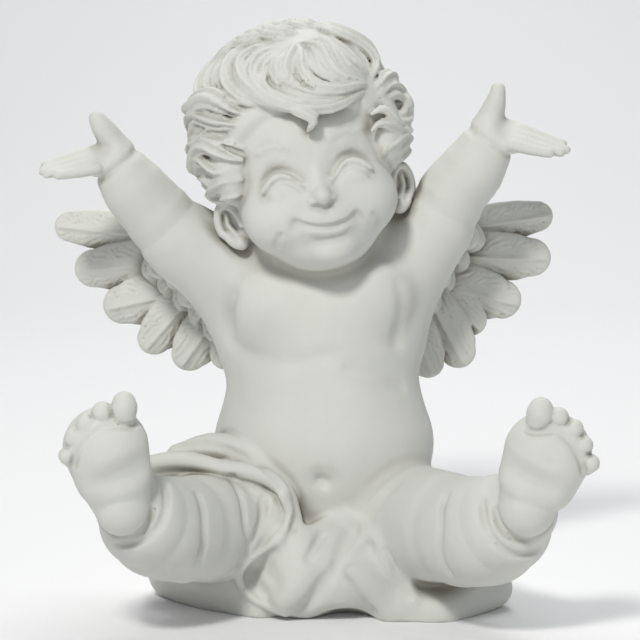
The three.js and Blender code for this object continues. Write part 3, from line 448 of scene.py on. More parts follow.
def makeMouth():
    def arc(reach, height, bow):  # between the lips, then the upper and the lower lip
        return [(u, height + bow * u * u + mouthSizes["tilt"] * u) for u in np.linspace(-reach, reach, 7)]

    pressFace(arc(mouthSizes["half"], mouthSizes["level"], 0.05), 1.1, 0.42)
    pressFace(arc(3.2, -7.25, 0.045), -0.25, 0.6)
    pressFace(arc(2.5, -8.75, 0.06), -0.4, 0.7)
    for side in (-1, 1):
        slant = mouthSizes["tilt"] * side * 5
        pressFace([(side * 5, -6.7 + slant), (side * 5.4, -7.4 + slant)], 0.6, 0.7)
    pressFace([(-1.6, -10.2), (0, -10.4), (1.6, -10.2)], 0.15, 0.9)
    pressFace([(0, -4.9), (0, -6.2)], 0.25, 0.5)


def makeFace():
    addForms(faceForms, headEgg)
    for side in (-1, 1):
        makeEye(side)
    makeNose()
    makeMouth()


earSizes = {
    "middle": (14.6, -1.3, -5.0),
    "flare": 38,  # degrees, how far it stands off the head
    "lean": 12,
    "rim": 0.78,
    "height": 3.5,  # from its middle to the top of the rim
}


def makeEar(side):
    flare = (Quaternion((0, 0, 1), side * math.radians(earSizes["flare"]))
             @ Quaternion((0, 1, 0), side * math.radians(earSizes["lean"])))
    turn = headTurn @ flare
    middle = Vector((side * earSizes["middle"][0], *earSizes["middle"][1:]))

    def at(x, y, z):
        return inHead(*(middle + flare @ Vector((side * x, y, z))))

    clay.add(Egg(at(-0.6, 0.9, 0), (2.6, 1.5, 3.7), turn), 1)
    clay.carve(Egg(at(-0.3, -0.9, 0.3), (1.5, 1.2, 2.5), turn), 0.5)
    rim = []
    for angle in range(-110, 191, 20):
        reach = 2.35 if angle > -12 else 1.7
        height = earSizes["height"] * math.sin(math.radians(angle))
        rim.append(at(reach * math.cos(math.radians(angle)), -0.5, height) + [earSizes["rim"]])
    clay.add(Tube(rim), 0.4)
    clay.add(Tube([at(-0.2, -0.2, -1.9) + [0.6], at(0.7, -0.2, 0.2) + [0.5], at(0.2, -0.2, 1.9) + [0.45]]),
             0.4)
    clay.add(ball(*at(-0.5, -0.2, -3.5), 1.25), 0.6)


# Hair: a cap with strands on it. A strand's route over the scalp is a few places in degrees,
# round from the face and up.

scalp = {"centre": (0, 1.5, 7.5), "radius": 18}
hairForms = {  # centre, radii and softness, under the strands
    "nape": ((0, 6, -4), (14.4, 11.5, 10), 1.2),
    "rightSide": ((-12.9, -5, 5.4), (3.7, 5.2, 7.4), 1),
    "leftSide": ((12.9, -5, 5.4), (3.7, 5.2, 7.4), 1),
}
hairSheets = [  # routes side by side, with strands on them and between them; groove is a depth
    {"routes": [
        [(84, 71), (60, 54), (66, 42), (66, 30), (54, 22)],
        [(28, 64), (39, 53), (35, 41), (36, 30), (50, 21)],
        [(9, 61), (25, 49), (23, 35), (29, 25), (48, 20)],
        [(12, 59), (10, 48), (5, 38), (8, 28), (20, 21), (47, 19)],
        [(11, 55), (-3, 51), (-15, 43), (-18, 33), (-11, 23), (2, 15), (20, 12), (47, 17)],
        [(-3, 61), (-21, 55), (-27, 44), (-25, 34), (-19, 25), (-9, 17), (4, 10)],
        [(-17, 67), (-37, 58), (-41, 48), (-35, 36), (-24, 27), (-14, 20), (-6, 15)],
        [(-34, 71), (-62, 61), (-57, 46), (-47, 35), (-33, 26), (-21, 21)],
        [(-88, 70), (-90, 56), (-76, 42), (-58, 32), (-36, 22)],
        [(-110, 72), (-104, 56), (-88, 41), (-70, 30), (-50, 24)]],
     "between": 3, "width": 1.2, "lift": 0.1, "wave": 0.45, "rough": 0.25, "groove": 0.42, "root": 1.3},
    {"routes": [
        [(-36, 19), (-50, 24), (-70, 27), (-95, 23)], [(-37, 12), (-47, 17), (-62, 20), (-80, 17), (-97, 10)],
        [(-41, 5), (-50, 11), (-66, 12), (-84, 7), (-98, -1)],
        [(-41, -4), (-49, 3), (-58, 7), (-74, 5), (-90, -6), (-104, -12)]],
     "between": 1, "width": 1.75, "lift": 0.3, "wave": 1.2, "rough": 0.8, "groove": 0.6, "root": 2.4},
    {"routes": [
        [(-43, -6), (-53, -1), (-64, 3), (-78, -1), (-96, -11)], [(-45, -9), (-58, -7), (-71, -3), (-87, -8)],
        [(-49, -15), (-62, -13), (-75, -9), (-92, -14)], [(-54, -22), (-62, -18), (-74, -15), (-94, -19)],
        [(-64, -32), (-68, -26), (-78, -21), (-96, -24)]],
     "between": 1, "width": 1.4, "lift": 0.2, "wave": 1.1, "rough": 0.7, "groove": 0.55, "root": 2.4},
    {"routes": [[(84, 74), (74, 52), (80, 36), (82, 24)], [(110, 72), (100, 50), (98, 34), (94, 18)]],
     "between": 2, "width": 1.3, "lift": 0, "wave": 0.7, "rough": 0.4, "groove": 0.42, "root": 1.3},
]
locks = [  # single strands and their widths
    ([(53, 16), (66, 20), (83, 17), (92, 8)], 1.2),
    ([(52, 11), (66, 15), (82, 10), (86, 2), (80, -5), (64, -5), (53, -1)], 1.45),
    ([(57, 9), (68, 9), (78, 4), (72, -1), (61, -1)], 0.9),
    ([(42, 3), (48, 4), (53, 0), (58, -5), (70, -8)], 1.0),
    ([(40, -6), (44, -3), (52, -5), (62, -9), (84, -10)], 1.1),
    ([(48, -22), (51, -16), (62, -12), (80, -11), (90, -16)], 1.3),
    ([(55, -27), (58, -20), (70, -16), (84, -15), (90, -22)], 1.3),
    ([(63, -29), (70, -24), (82, -21), (90, -27)], 1.1),
    ([(-8, 17), (0, 11), (4, 7), (0, 2)], 1.0),
    ([(-47, -17), (-55, -15), (-68, -17), (-85, -20)], 1.2), ([(-50, -25), (-57, -23), (-68, -24)], 1.2),
    ([(10, 57), (5, 49), (-2, 41), (-4, 32), (5, 24)], 1.5),
    ([(4, 48), (-8, 42), (-9, 33), (0, 24)], 1.4),
]
crownCurls = [(-70, 78, 4.2), (20, 80, 4.6), (100, 72, 4.4), (170, 80, 4.4)]  # degrees, and size
backRows = [  # how many curls, their elevation and their size
    (9, -32, 3.6), (11, -14, 4.2), (11, 6, 4.5), (9, 26, 4.8), (7, 46, 5), (4, 66, 5),
]
backFrom, backTo = 102, 258  # degrees round from the face


def scalpSpot(az, el):
    a = math.radians(az)
    e = math.radians(el)
    return np.array([math.sin(a) * math.cos(e), -math.cos(a) * math.cos(e), math.sin(e)])


def unit(rows):
    return rows / np.linalg.norm(rows, axis=-1, keepdims=True)


def route(places, count=14):
    fine = unit(np.array([q[:3] for q in smooth([[*scalpSpot(*p), 0] for p in places], 8)]))
    run = np.r_[0, np.cumsum(np.linalg.norm(np.diff(fine, axis=0), axis=1))]
    even = np.linspace(0, run[-1], count)
    return unit(np.stack([np.interp(even, run, fine[:, i]) for i in range(3)], 1))


def strands(count, depth):  # fine grooves along a tube, fading where it is thin
    def pattern(across, run, radius, rim):
        fade = np.clip((radius - 0.35) / 0.8, 0, 1) * np.clip(1.5 - np.abs(across), 0, 1)
        return depth * fade * (0.5 - 0.5 * np.cos(math.pi * count * (across + 1)))
    return pattern


def addStrand(way, width, lift, wave=0, phase=0, lines=2, depth=0.42, hump=0.4, root=1.3):
    points = []
    for n, spot in enumerate(way):
        share = n / (len(way) - 1)
        body = min(1, 0.35 + 2.6 * share, 0.25 + 2.6 * (1 - share))
        sink = root * (1 - share) ** 5 + 1.3 * share ** 8
        reach = scalp["radius"] + lift + hump * math.sin(math.pi * share) - sink
        ahead = way[min(n + 1, len(way) - 1)] - way[max(n - 1, 0)]
        side = unit(np.cross(ahead, spot))
        sway = wave * math.sin(math.pi * share) * math.sin(5.5 * share + phase)
        points.append([*(np.array(scalp["centre"]) + spot * reach + side * sway), width * body])
    clay.add(headTube(points, way[len(way) // 2], 1.15, strands(lines, depth)), 0.35)


def addSheet(sheet):
    routes = [route(places) for places in sheet["routes"]]
    steps = sheet["between"] + 1
    for n in range((len(routes) - 1) * steps + 1):
        first = min(n // steps, len(routes) - 2)
        way = unit(mix(routes[first], routes[first + 1], n / steps - first))
        low = 0.6 if n % steps else 0
        width = sheet["width"] * (0.95 + 0.2 * math.sin(2.3 * n + 1) - 0.3 * low)
        lift = sheet["lift"] + sheet["rough"] * math.cos(2.6 * n) - low
        addStrand(way, width, lift, sheet["wave"], 1.9 * n, depth=sheet["groove"], root=sheet["root"])


def addCurl(az, el, size, turn, hand, turns, lift=0, arms=3):
    centre = scalpSpot(az, el)
    side = np.array([math.cos(math.radians(az)), math.sin(math.radians(az)), 0])
    up = np.cross(side, centre)
    for m in range(arms):
        way = []
        for share in np.linspace(0, 1, 14):
            angle = math.radians(turn) + hand * (share * turns * 2 * math.pi - 0.35 * m)
            reach = size * (1 - 0.85 * m / arms) * (1 - 0.25 * share) / scalp["radius"]
            way.append(centre + (side * math.cos(angle) + up * math.sin(angle)) * reach)
        addStrand(unit(np.array(way)), 1.15, lift + 0.25 * (m % 2))


def makeHair():
    hairline = headTurn @ Vector((0, -0.8, -0.6))  # the cap ends on a plane over the forehead
    cap = headEgg((0, 2, 7.4), (17.8, 17.5, 18.1))
    clay.add(Cut(cap, inHead(0, -12.6, 11), list(hairline), 1), 0.6)
    addForms(hairForms, headEgg)
    clay.add(ball(13.2, -3.5, 85.2, 2.8), 1)  # under the large curl over the left temple
    for row, (count, el, size) in enumerate(backRows):
        for n in range(count):
            az = mix(backFrom, backTo, (n + 0.25 + 0.5 * (row % 2)) / count)
            hand = 1 if (n + row) % 2 else -1
            addCurl(az, el + 3 * math.sin(2.1 * n + row), size,
                    40 * math.sin(1.7 * n + 2 * row) + 100, hand, 0.75, -0.1)
    for az, el, size in crownCurls:
        addCurl(az, el, size, az + 60, 1, 0.7, 0, 4)
    for sheet in hairSheets:
        addSheet(sheet)
    for places, width in locks:
        addStrand(route(places), width, 0.3)


backLines = [  # (x, z) points from behind, depth and width: the spine, the small of the back, the seat
    ([(0.2, 58), (0.4, 50), (0.6, 40), (0.6, 31)], 0.9, 1.7),
    ([(0.6, 28), (0.7, 22), (0.7, 15)], 1.3, 0.9),
    ([(-13, 34), (-7, 32.4), (-3, 32.8)], 0.4, 1.2), ([(14, 34.4), (8, 32.6), (4, 32.8)], 0.4, 1.2),
]


# Legs and feet, the figure's right one at -X first

legs = [
    {
        "thigh": [[-9.5, -3, 13.5, 10], [-16.2, -13, 14.6, 9.6], [-20.6, -20.4, 15.6, 9]],
        "calf": [[-23.4, -25, 16.4, 8.8], [-26.3, -29.6, 17.9, 8.3], [-28, -32.4, 19.4, 7.6]],
        "ankle": [[-29.4, -34, 21.2, 6.4], [-30, -34.6, 21.8, 5.9]],
        "heel": [-31.2, -39.2, 22.9, 4.4],
        "pad": [-33.6, -40.6, 32.8, 6.8],
        "toes": [(-30.5, 39.6, 2.1), (-33.9, 38.9, 1.7), (-36.4, 37, 1.6), (-38.4, 34.8, 1.5),
                 (-39.4, 32, 1.45)],  # x, z and radius
        "creases": [[(-24.9, 26), (-24.4, 23), (-25.2, 20.4), (-28, 17.8), (-32.2, 16.8)],
                    [(-23, 26.3), (-19.6, 23.2), (-18.6, 18.8), (-19.6, 12.7)]],  # x and z
    },
    {
        "thigh": [[10.5, -3, 13.8, 10.2], [16.6, -13, 15, 9.8], [21, -20.4, 15.9, 9.2]],
        "calf": [[24, -25, 16.1, 9.1], [27.3, -29.6, 17.2, 8.9], [29.2, -32.2, 18.8, 8.2]],
        "ankle": [[31, -34, 20.8, 7], [31.7, -34.6, 21.6, 6.4]],
        "heel": [32.6, -39.2, 22.9, 4.6],
        "pad": [35.7, -40.6, 31.8, 7],
        "toes": [(34.3, 38.6, 2.2), (37.2, 38.1, 1.6), (39.6, 36.3, 1.5), (41.2, 33.7, 1.45),
                 (42.3, 30.8, 1.45)],
        "creases": [[(26.4, 26.6), (25.7, 23.7), (26.7, 19), (30.4, 15.5), (35.1, 15.8)],
                    [(24.6, 25.9), (20.3, 23.2), (19.3, 18.4), (19.5, 13.5), (20.9, 10.8)]],
    },
]
legSoftness = {"thigh": 2.5, "calf": 0.7, "ankle": 0.4}
creaseSizes = ((1.1, 0.5), (0.6, 0.7))  # depth and width, at the ankle and at the knee
footSizes = {"flatness": 1.45, "toeY": -42.7, "toeCrease": 0.9, "heelCrease": 1.2}


def makeLeg(leg):
    for name, softness in legSoftness.items():
        clay.add(Tube(leg[name]), softness)
    for line, (depth, width) in zip(leg["creases"], creaseSizes):
        pressFront(line, depth, width)


def makeFoot(leg):
    heel, pad, toes = leg["heel"], leg["pad"], leg["toes"]
    instep = between(heel, pad, 0.75)[:3]
    instep[1] += 2.6
    clay.add(Tube([leg["ankle"][1][:3] + [5.2], instep + [4.4]]), 0.6)
    waist = between(heel, pad, 0.6)[:3] + [mix(heel[3], pad[3], 0.75)]
    clay.add(Tube([heel, waist, pad], (0, 1, 0), footSizes["flatness"]), 0.15)
    clay.add(ball(heel[0], heel[1] + 0.2, heel[2], heel[3]), 0.15)
    inner = math.copysign(1, toes[0][0] - toes[4][0])  # the big toe's side
    archX, _, archZ = between(heel, pad, 0.52)[:3]
    clay.press(Tube([[archX + inner * 4.4, -43.4, archZ + 2.2, 0.3],
                     [archX - inner * 0.5, -44, archZ, 0.3]]), 0.8, 1.9)
    around = [(heel[0] + (heel[3] + 0.3) * math.sin(angle), heel[2] - (heel[3] + 0.3) * math.cos(angle))
              for angle in np.linspace(-1.5, 1.5, 9)]
    pressFront(around, footSizes["heelCrease"], 0.45)
    sole = unit(np.array([pad[0] - heel[0], pad[2] - heel[2]]))
    toeY = footSizes["toeY"]
    toeRoots = []
    for n, (x, z, radius) in enumerate(toes):
        way = unit(np.array([x - pad[0], z - pad[2]]) * 0.06 + sole)
        drop = 1.9 if n == 0 else 1
        foot = (x - way[0] * drop, z - way[1] * drop)
        tip = 0.7 if n == 0 else 0.15
        clay.add(Tube([[foot[0], toeY + 0.2, foot[1], radius * 0.82], [x, toeY, z, radius],
                       [x + way[0] * tip, toeY + 0.3, z + way[1] * tip, radius * 0.88]]), 0.2)
        toeRoots.append((x - way[0] * radius * 1.25, z - way[1] * radius * 1.25))
    start = (toeRoots[0][0] + inner * 1.6, toeRoots[0][1] + 0.2)
    pressFront([start, *toeRoots], footSizes["toeCrease"], 0.42)


# Wings: flat feathers known by the tip, the slope below level, the length and the width

wings = [
    {
        "side": -1,
        "arm": [[-7, 8, 54, 4], [-14, 10.4, 57.6, 3.4], [-22, 12, 60.4, 2.2]],
        "feathers": [((-47.2, 14.6, 63.4), -6, 30, 7.4), ((-43.6, 13.6, 55.4), 6, 28, 9.2),
                     ((-38.4, 12.6, 48.6), 14, 24, 9.6), ((-31.4, 11.6, 41.2), 50, 17, 8.2),
                     ((-25, 10.8, 38.3), 55, 16, 8.8), ((-18, 10, 38.4), 62, 16, 8)],
        "coverts": {"from": (-31.3, 10.4, 54.9), "to": (-19.4, 8.6, 43.4), "slopes": (30, 62)},
    },
    {
        "side": 1,
        "arm": [[7, 8, 55, 4], [14, 10.4, 59, 3.4], [20.5, 12, 61.6, 2.2]],
        "feathers": [((41.4, 14.6, 65.4), -9, 27, 7.4), ((41, 13.6, 57.6), 2, 27, 9.2),
                     ((35.6, 12.6, 49.4), 16, 23, 9.6), ((28.8, 11.6, 44.8), 44, 17, 8.2),
                     ((26, 10.8, 38.6), 62, 16, 8.6), ((20.2, 10, 36.8), 68, 15, 8)],
        "coverts": {"from": (29, 10.4, 60.4), "to": (17.6, 8.6, 44.4), "slopes": (22, 66)},
    },
]
featherSizes = {"flatness": 3.2, "barbPitch": 1.4, "barbDepth": 0.27, "shaft": 0.45, "coverts": 5,
                "curl": 2.3, "covertLength": 9, "covertWidth": 6.4}


def barbs(across, run, radius, rim):
    side = np.abs(across)
    lean = run - side * radius * 1.5 + 0.5 * np.sin(run * 0.9)
    wave = 0.5 - 0.5 * np.cos(2 * math.pi * lean / featherSizes["barbPitch"])
    fade = np.clip(side * 3 - 0.3, 0, 1) * np.clip(4.4 - 4.4 * rim, 0, 1)
    shaft = featherSizes["shaft"] * np.exp(-(across * radius / 0.38) ** 2) * np.clip(3 - 3 * rim, 0, 1)
    return featherSizes["barbDepth"] * fade * wave ** 2 - shaft


def addFeather(tip, slope, length, width, side):
    way = (side * math.cos(math.radians(slope)), 0.05, -math.sin(math.radians(slope)))
    profile = (0.5, 0.7, 0.86, 0.96, 1, 1, 0.94, 0.76)
    points = []
    for n, share in enumerate(profile):
        back = (1 - n / (len(profile) - 1)) * (length - width * 0.36) + width * 0.36
        points.append([tip[i] - way[i] * back for i in range(3)] + [share * width / 2])
    clay.add(Tube(points, (0.12 * side, 1, 0.1), featherSizes["flatness"], barbs), 0.25)


def addCovertCurl(x, y, z, turn):  # a small round tuft with a spiral cut into it
    size = featherSizes["curl"]
    clay.add(Egg((x, y, z), (size, size * 0.75, size)), 0.4)
    spiral = []
    for share in np.linspace(0, 1, 9):
        angle = math.radians(turn) + 5.2 * share
        reach = size * mix(0.85, 0.15, share)
        spiral.append((x + reach * math.cos(angle), z + reach * math.sin(angle)))
    clay.press(Tube(smooth([[a, y - size * 0.7, b, 0.1] for a, b in spiral], 3)), 0.9, 0.42)


def makeWing(wing):
    clay.add(Tube(smooth(wing["arm"])), 2)
    for tip, slope, length, width in wing["feathers"]:
        addFeather(tip, slope, length, width, wing["side"])
    coverts = wing["coverts"]
    for n in range(featherSizes["coverts"]):
        share = n / (featherSizes["coverts"] - 1)
        tip = between(coverts["from"], coverts["to"], share)
        slope = mix(*coverts["slopes"], share)
        addFeather(tip, slope, featherSizes["covertLength"], featherSizes["covertWidth"], wing["side"])
        back = 3.4 + 0.8 * (n % 2)
        addCovertCurl(tip[0] - wing["side"] * back * math.cos(math.radians(slope)), tip[1] - 1.6,
                      tip[2] + back * math.sin(math.radians(slope)), 70 * n)


# Cloth: a mound under the figure, a length over the right thigh and a gathered fall in the lap

groundForms = {
    "mound": ((1, -2.6, 5), (31, 17.4, 7.6), 2),
    "leftEdge": ([[9, -17.6, 0.6, 3.4], [20, -18.2, 0.9, 3.8], [29.3, -11, 3.4, 3.6]], 3),
    "rightEdge": ([[-10, -16, 0.6, 3], [-19, -10, 1.2, 2.6], [-26.5, -3, 2.6, 2.4]], 3),
    "lap": ((2.4, -14, 6.6), (13.6, 9, 8.6), 2),
    "gather": ([[-4, -17.4, 6, 5.6], [-6.5, -16.6, 13, 4.2]], 2),
}
edgeDip = ((4.5, -22.5, -1.5), (6, 8.5, 3.6), 2)  # cut out of the front edge
thighForms = {
    "hip": ((-17.6, -9.6, 20.6), (7.4, 9.6, 5.4), 1.5),
    "overHip": (smooth([[-24, -10.5, 26, 2.2], [-18.4, -10, 27.4, 2.6], [-13.1, -12, 26.6, 2.7],
                        [-9.6, -14, 23.8, 2.6], [-6.6, -15.6, 20.6, 2.4], [-5.2, -17, 16.6, 2.2]], 3), 0.9),
    "sheet": ([[-12.4, -15.4, 22.4, 3], [-9, -15.8, 18.6, 3.7], [-9.2, -16.6, 14.6, 3.2],
               [-12, -18, 10.4, 2.2]], 1),
    "underRoll": ([[-27.6, -15.2, 24.8, 1.5], [-16, -15.4, 24, 2.4]], 1),
    "roll": (smooth([[-28.6, -16.6, 26, 1.3], [-24, -17, 26.7, 1.5], [-20.2, -17.2, 26.2, 1.5],
                     [-16.5, -17.4, 25.2, 1.45], [-12.8, -17.8, 24.9, 1.5], [-9, -18.3, 24, 1.4],
                     [-6.4, -18.4, 21.9, 1.2], [-5.5, -18.2, 19.6, 1], [-5.2, -18, 17.4, 0.8],
                     [-5.8, -17.9, 15.5, 0.6]], 3), 0.45),
}
hem = {"line": [(-6.2, 21), (-5.3, 19), (-5.1, 17.4), (-5.7, 15.5), (-7.2, 13.7), (-9.4, 11.9),
                (-11.7, 10.7), (-13, 9.5), (-13.6, 7.6), (-13, 5.4), (-11.3, 3.5), (-8.7, 2.3),
                (-5.7, 1.6)], "radius": 0.8}
clothFolds = [  # (x, z) points from the front, depth and width, and a negative depth is a ridge
    ([(-3.9, 17), (-4.6, 14.6), (-6.4, 12.3), (-8.8, 10.4), (-10.8, 9.2), (-11.6, 7.6), (-11, 5.8),
      (-9.2, 4.4)], 1.0, 0.9),
    ([(-9.2, 8.6), (-7.6, 6.6)], 0.9, 1.8),
    ([(-6.1, 13.1), (-2.2, 14.2), (1.3, 15.2), (3.6, 16), (6, 15.6), (9.5, 13.2), (11.9, 9.5),
      (13.9, 6.4), (15, 3.6)], -1.6, 1.3),
    ([(-1.8, 12), (-3, 9), (-4.6, 6), (-6, 3.6)], -1.1, 2.2),
    ([(4.6, 9.4), (7.4, 7.6), (10, 4.4), (12, 2.4)], -1.2, 2.2),
    ([(5.4, 15), (3.8, 12.3), (2.9, 9.8), (0.9, 7.2), (-1.4, 4), (-3.6, 2)], 2.3, 0.95),
    ([(8.2, 12.6), (5.4, 11.2), (2.9, 9.8)], 2, 0.8),
    ([(0.2, 14.2), (-1.8, 11.2)], 1.3, 0.7),
    ([(3.2, 8.6), (4.8, 6.4), (6.2, 4), (8.4, 1.6)], 1.3, 0.9),
    ([(11, 12), (13.2, 7.8), (14.8, 4.2)], 1.1, 0.6),
    ([(-9.4, 20.4), (-9.6, 17.4), (-10.9, 14.4), (-12, 12.2)], 1.1, 0.6),
    ([(-14.6, 24), (-13.1, 21.2), (-12.4, 17.4), (-11.9, 14), (-12.9, 11.4), (-14.5, 9)], 0.9, 0.5),
    ([(-23, 28.6), (-18, 28.4), (-13, 27), (-9, 25.4), (-6.4, 22.8)], 0.6, 0.6),
    ([(-25, 8.2), (-19.7, 6.5), (-16, 7)], 1.2, 0.8),
]


def makeCloth():
    addForms(groundForms)
    centre, radii, softness = edgeDip
    clay.carve(Egg(centre, radii), softness)
    addForms(thighForms)
    line = onFront(hem["line"])
    clay.add(Tube(smooth([[x, y + 0.1, z, hem["radius"]] for x, y, z, _ in line], 3)), 0.5)
    for points, depth, width in clothFolds:
        pressFront(points, depth, width)


makeTorso()
for leg in legs:
    makeLeg(leg)
makeCloth()
for leg in legs:
    makeFoot(leg)
for points, depth, width in torsoLines.values():
    pressFront(points, depth, width)
for points, depth, width in backLines:
    clay.press(Tube(smooth(onFront(points, -1), 3)), depth, width)
for wing in wings:
    makeWing(wing)
for arm in arms:
    makeArm(arm)
    makeHand(arm)
print("clay: body done")
makeFace()
for side in (-1, 1):
    makeEar(side)
makeHair()
print("clay: head and hair done")


# The skin of the clay as a mesh

def cellPoints(cells):  # a point in each cell, the mean of where its edges meet the surface
    values = {c: clay.field[tuple(cells[:, i] + c[i] for i in range(3))] for c in np.ndindex(2, 2, 2)}
    place = np.zeros((len(cells), 3))
    hits = np.zeros(len(cells))
    for corner in np.ndindex(2, 2, 2):
        for axis in range(3):
            if corner[axis]:
                continue
            other = tuple(1 if i == axis else corner[i] for i in range(3))
            near, far = values[corner], values[other]
            crossed = (near < 0) != (far < 0)
            spot = np.tile(np.array(corner, float), (len(cells), 1))
            spot[:, axis] = near / np.where(crossed, near - far, 1)
            place += spot * crossed[:, None]
            hits += crossed
    return clay.low + (cells + place / hits[:, None]) * clay.step


def skinOfClay():
    inside = clay.field < 0
    total = np.zeros([n - 1 for n in inside.shape], np.uint8)
    for corner in np.ndindex(2, 2, 2):
        total += inside[tuple(slice(c, n - 1 + c) for c, n in zip(corner, inside.shape))]
    mixed = (total > 0) & (total < 8)
    cells = np.argwhere(mixed)
    number = np.full(mixed.shape, -1, np.int32)
    number[mixed] = np.arange(len(cells))
    quads = []
    for axis in range(3):
        nearSide = tuple(slice(0, -1) if i == axis else slice(None) for i in range(3))
        farSide = tuple(slice(1, None) if i == axis else slice(None) for i in range(3))
        edges = np.argwhere(inside[nearSide] != inside[farSide])
        u, v = (axis + 1) % 3, (axis + 2) % 3
        outward = inside[tuple(edges.T)]
        ring = []
        for du, dv in ((1, 1), (0, 1), (0, 0), (1, 0)):
            cell = edges.copy()
            cell[:, u] -= du
            cell[:, v] -= dv
            ring.append(number[tuple(cell.T)])
        ring = np.stack(ring, 1)
        ring[~outward] = ring[~outward][:, ::-1]
        quads.append(ring)
    return cellPoints(cells), np.vstack(quads)


def settle(points, rounds=2):  # draws the points onto the surface
    for _ in range(rounds):
        value = clay.sample(points)
        slope = clay.slope(points)
        move = -(value / np.maximum((slope ** 2).sum(1), 0.09))[:, None] * slope
        reach = np.linalg.norm(move, axis=1, keepdims=True)
        points = points + move * np.minimum(1, 0.4 * clay.step / np.maximum(reach, 1e-9))
    return points


def largestBody(bm):
    seen = set()
    bodies = []
    for first in bm.verts:
        if first in seen:
            continue
        seen.add(first)
        front = [first]
        body = [first]
        while front:
            ahead = []
            for vert in front:
                for edge in vert.link_edges:
                    other = edge.other_vert(vert)
                    if other not in seen:
                        seen.add(other)
                        ahead.append(other)
            body += ahead
            front = ahead
        bodies.append(body)
    bodies.sort(key=len)
    for body in bodies[:-1]:
        bmesh.ops.delete(bm, geom=body, context="VERTS")


def groundCut(bm):
    bmesh.ops.bisect_plane(bm, geom=bm.verts[:] + bm.edges[:] + bm.faces[:], dist=1e-6,
                           plane_co=(0, 0, 0), plane_no=(0, 0, -1), clear_outer=True)
    rim = [edge for edge in bm.edges if edge.is_boundary]
    bmesh.ops.holes_fill(bm, edges=rim)


def keepInBox(mesh):  # the statue stands level, so the lowest points stay on the ground
    spots = np.empty(len(mesh.vertices) * 3)
    mesh.vertices.foreach_get("co", spots)
    spots = spots.reshape(-1, 3)
    low = np.array(cadBox[0]) + claySettings["boxMargin"]
    high = np.array(cadBox[1]) - claySettings["boxMargin"]
    low[2] = max(0, cadBox[0][2])
    print("moved into the box:", int(((spots < low) | (spots > high)).any(1).sum()), "points, by up to",
          round(float(max((low - spots).max(), (spots - high).max())) * 1000, 2), "mm")
    mesh.vertices.foreach_set("co", np.clip(spots, low, high).ravel())


def mendFolds(mesh):  # eases the points of triangles that have turned against the clay
    bm = bmesh.new()
    bm.from_mesh(mesh)
    for _ in range(3):
        bm.normal_update()
        places = np.array([face.calc_center_median() for face in bm.faces]) / part
        normals = np.array([face.normal for face in bm.faces])
        slopes = clay.slope(places)
        facing = (normals * slopes).sum(1) / (np.linalg.norm(slopes, axis=1) + 1e-9)
        flat = places[:, 2] < claySettings["step"]
        folded = [face for face, turned in zip(bm.faces, (facing < 0.1) & ~flat) if turned]
        print("folded:", len(folded), "triangles")
        if not folded:
            break
        corners = {vert.index: vert for face in folded for vert in face.verts if vert.co.z > 1e-5}
        bmesh.ops.smooth_vert(bm, verts=list(corners.values()), factor=0.5, use_axis_x=True,
                              use_axis_y=True, use_axis_z=True)
    bm.to_mesh(mesh)
    bm.free()


def makeStatue():
    points, quads = skinOfClay()
    points = settle(points)
    mesh = bpy.data.meshes.new("statueSkin")
    mesh.from_pydata((points * part).tolist(), [], quads.tolist())
    statue = bpy.data.objects.new("statueSkin", mesh)
    bpy.context.scene.collection.objects.link(statue)
    bm = bmesh.new()
    bm.from_mesh(mesh)
    largestBody(bm)
    groundCut(bm)
    bmesh.ops.triangulate(bm, faces=bm.faces[:])
    bm.to_mesh(mesh)
    bm.free()
    print("skin:", len(mesh.polygons), "triangles")
    if len(mesh.polygons) > claySettings["triangles"]:
        thin = statue.modifiers.new("thin", "DECIMATE")
        thin.ratio = claySettings["triangles"] / len(mesh.polygons)
        bpy.context.view_layer.update()
        ready = statue.evaluated_get(bpy.context.evaluated_depsgraph_get())
        thinned = bpy.data.meshes.new_from_object(ready)
        statue.modifiers.clear()
        statue.data = thinned
        print("thinned:", len(thinned.polygons), "triangles")
    mendFolds(statue.data)
    keepInBox(statue.data)
    statue.data.polygons.foreach_set("use_smooth", np.ones(len(statue.data.polygons), bool))
    return statue


def markHollows(mesh):  # how much stone stands near each point, for the painted shade that darkens the hollows
    count = len(mesh.vertices)
    place = np.empty(count * 3)
    normal = np.empty(count * 3)
    mesh.vertices.foreach_get("co", place)
    mesh.vertices.foreach_get("normal", normal)
    place = place.reshape(-1, 3) / part
    normal = normal.reshape(-1, 3)
    hollow = np.zeros(count)
    for reach in (0.7, 1.4, 2.8):
        hollow += np.clip(1 - clay.sample(place + normal * reach) / reach, 0, 1) / 3
    layer = mesh.attributes.new("hollow", "FLOAT", "POINT")
    layer.data.foreach_set("value", hollow.astype(np.float32))


statue = makeStatue()
markHollows(statue.data)
print("statue mesh done")


# Materials

class Wire:  # a socket that takes part in sums
    def __init__(self, tree, socket):
        self.tree = tree
        self.socket = socket

    def math(self, operation, first, second):
        node = self.tree.nodes.new("ShaderNodeMath")
        node.operation = operation
        for value, socket in ((first, node.inputs[0]), (second, node.inputs[1])):
            plug(self.tree, value, socket)
        return Wire(self.tree, node.outputs[0])

    def __add__(self, other):
        return self.math("ADD", self, other)

    def __radd__(self, other):
        return self.math("ADD", other, self)

    def __mul__(self, other):
        return self.math("MULTIPLY", self, other)


def plug(tree, value, socket):
    if isinstance(value, Wire):
        tree.links.new(value.socket, socket)
    else:
        socket.default_value = value


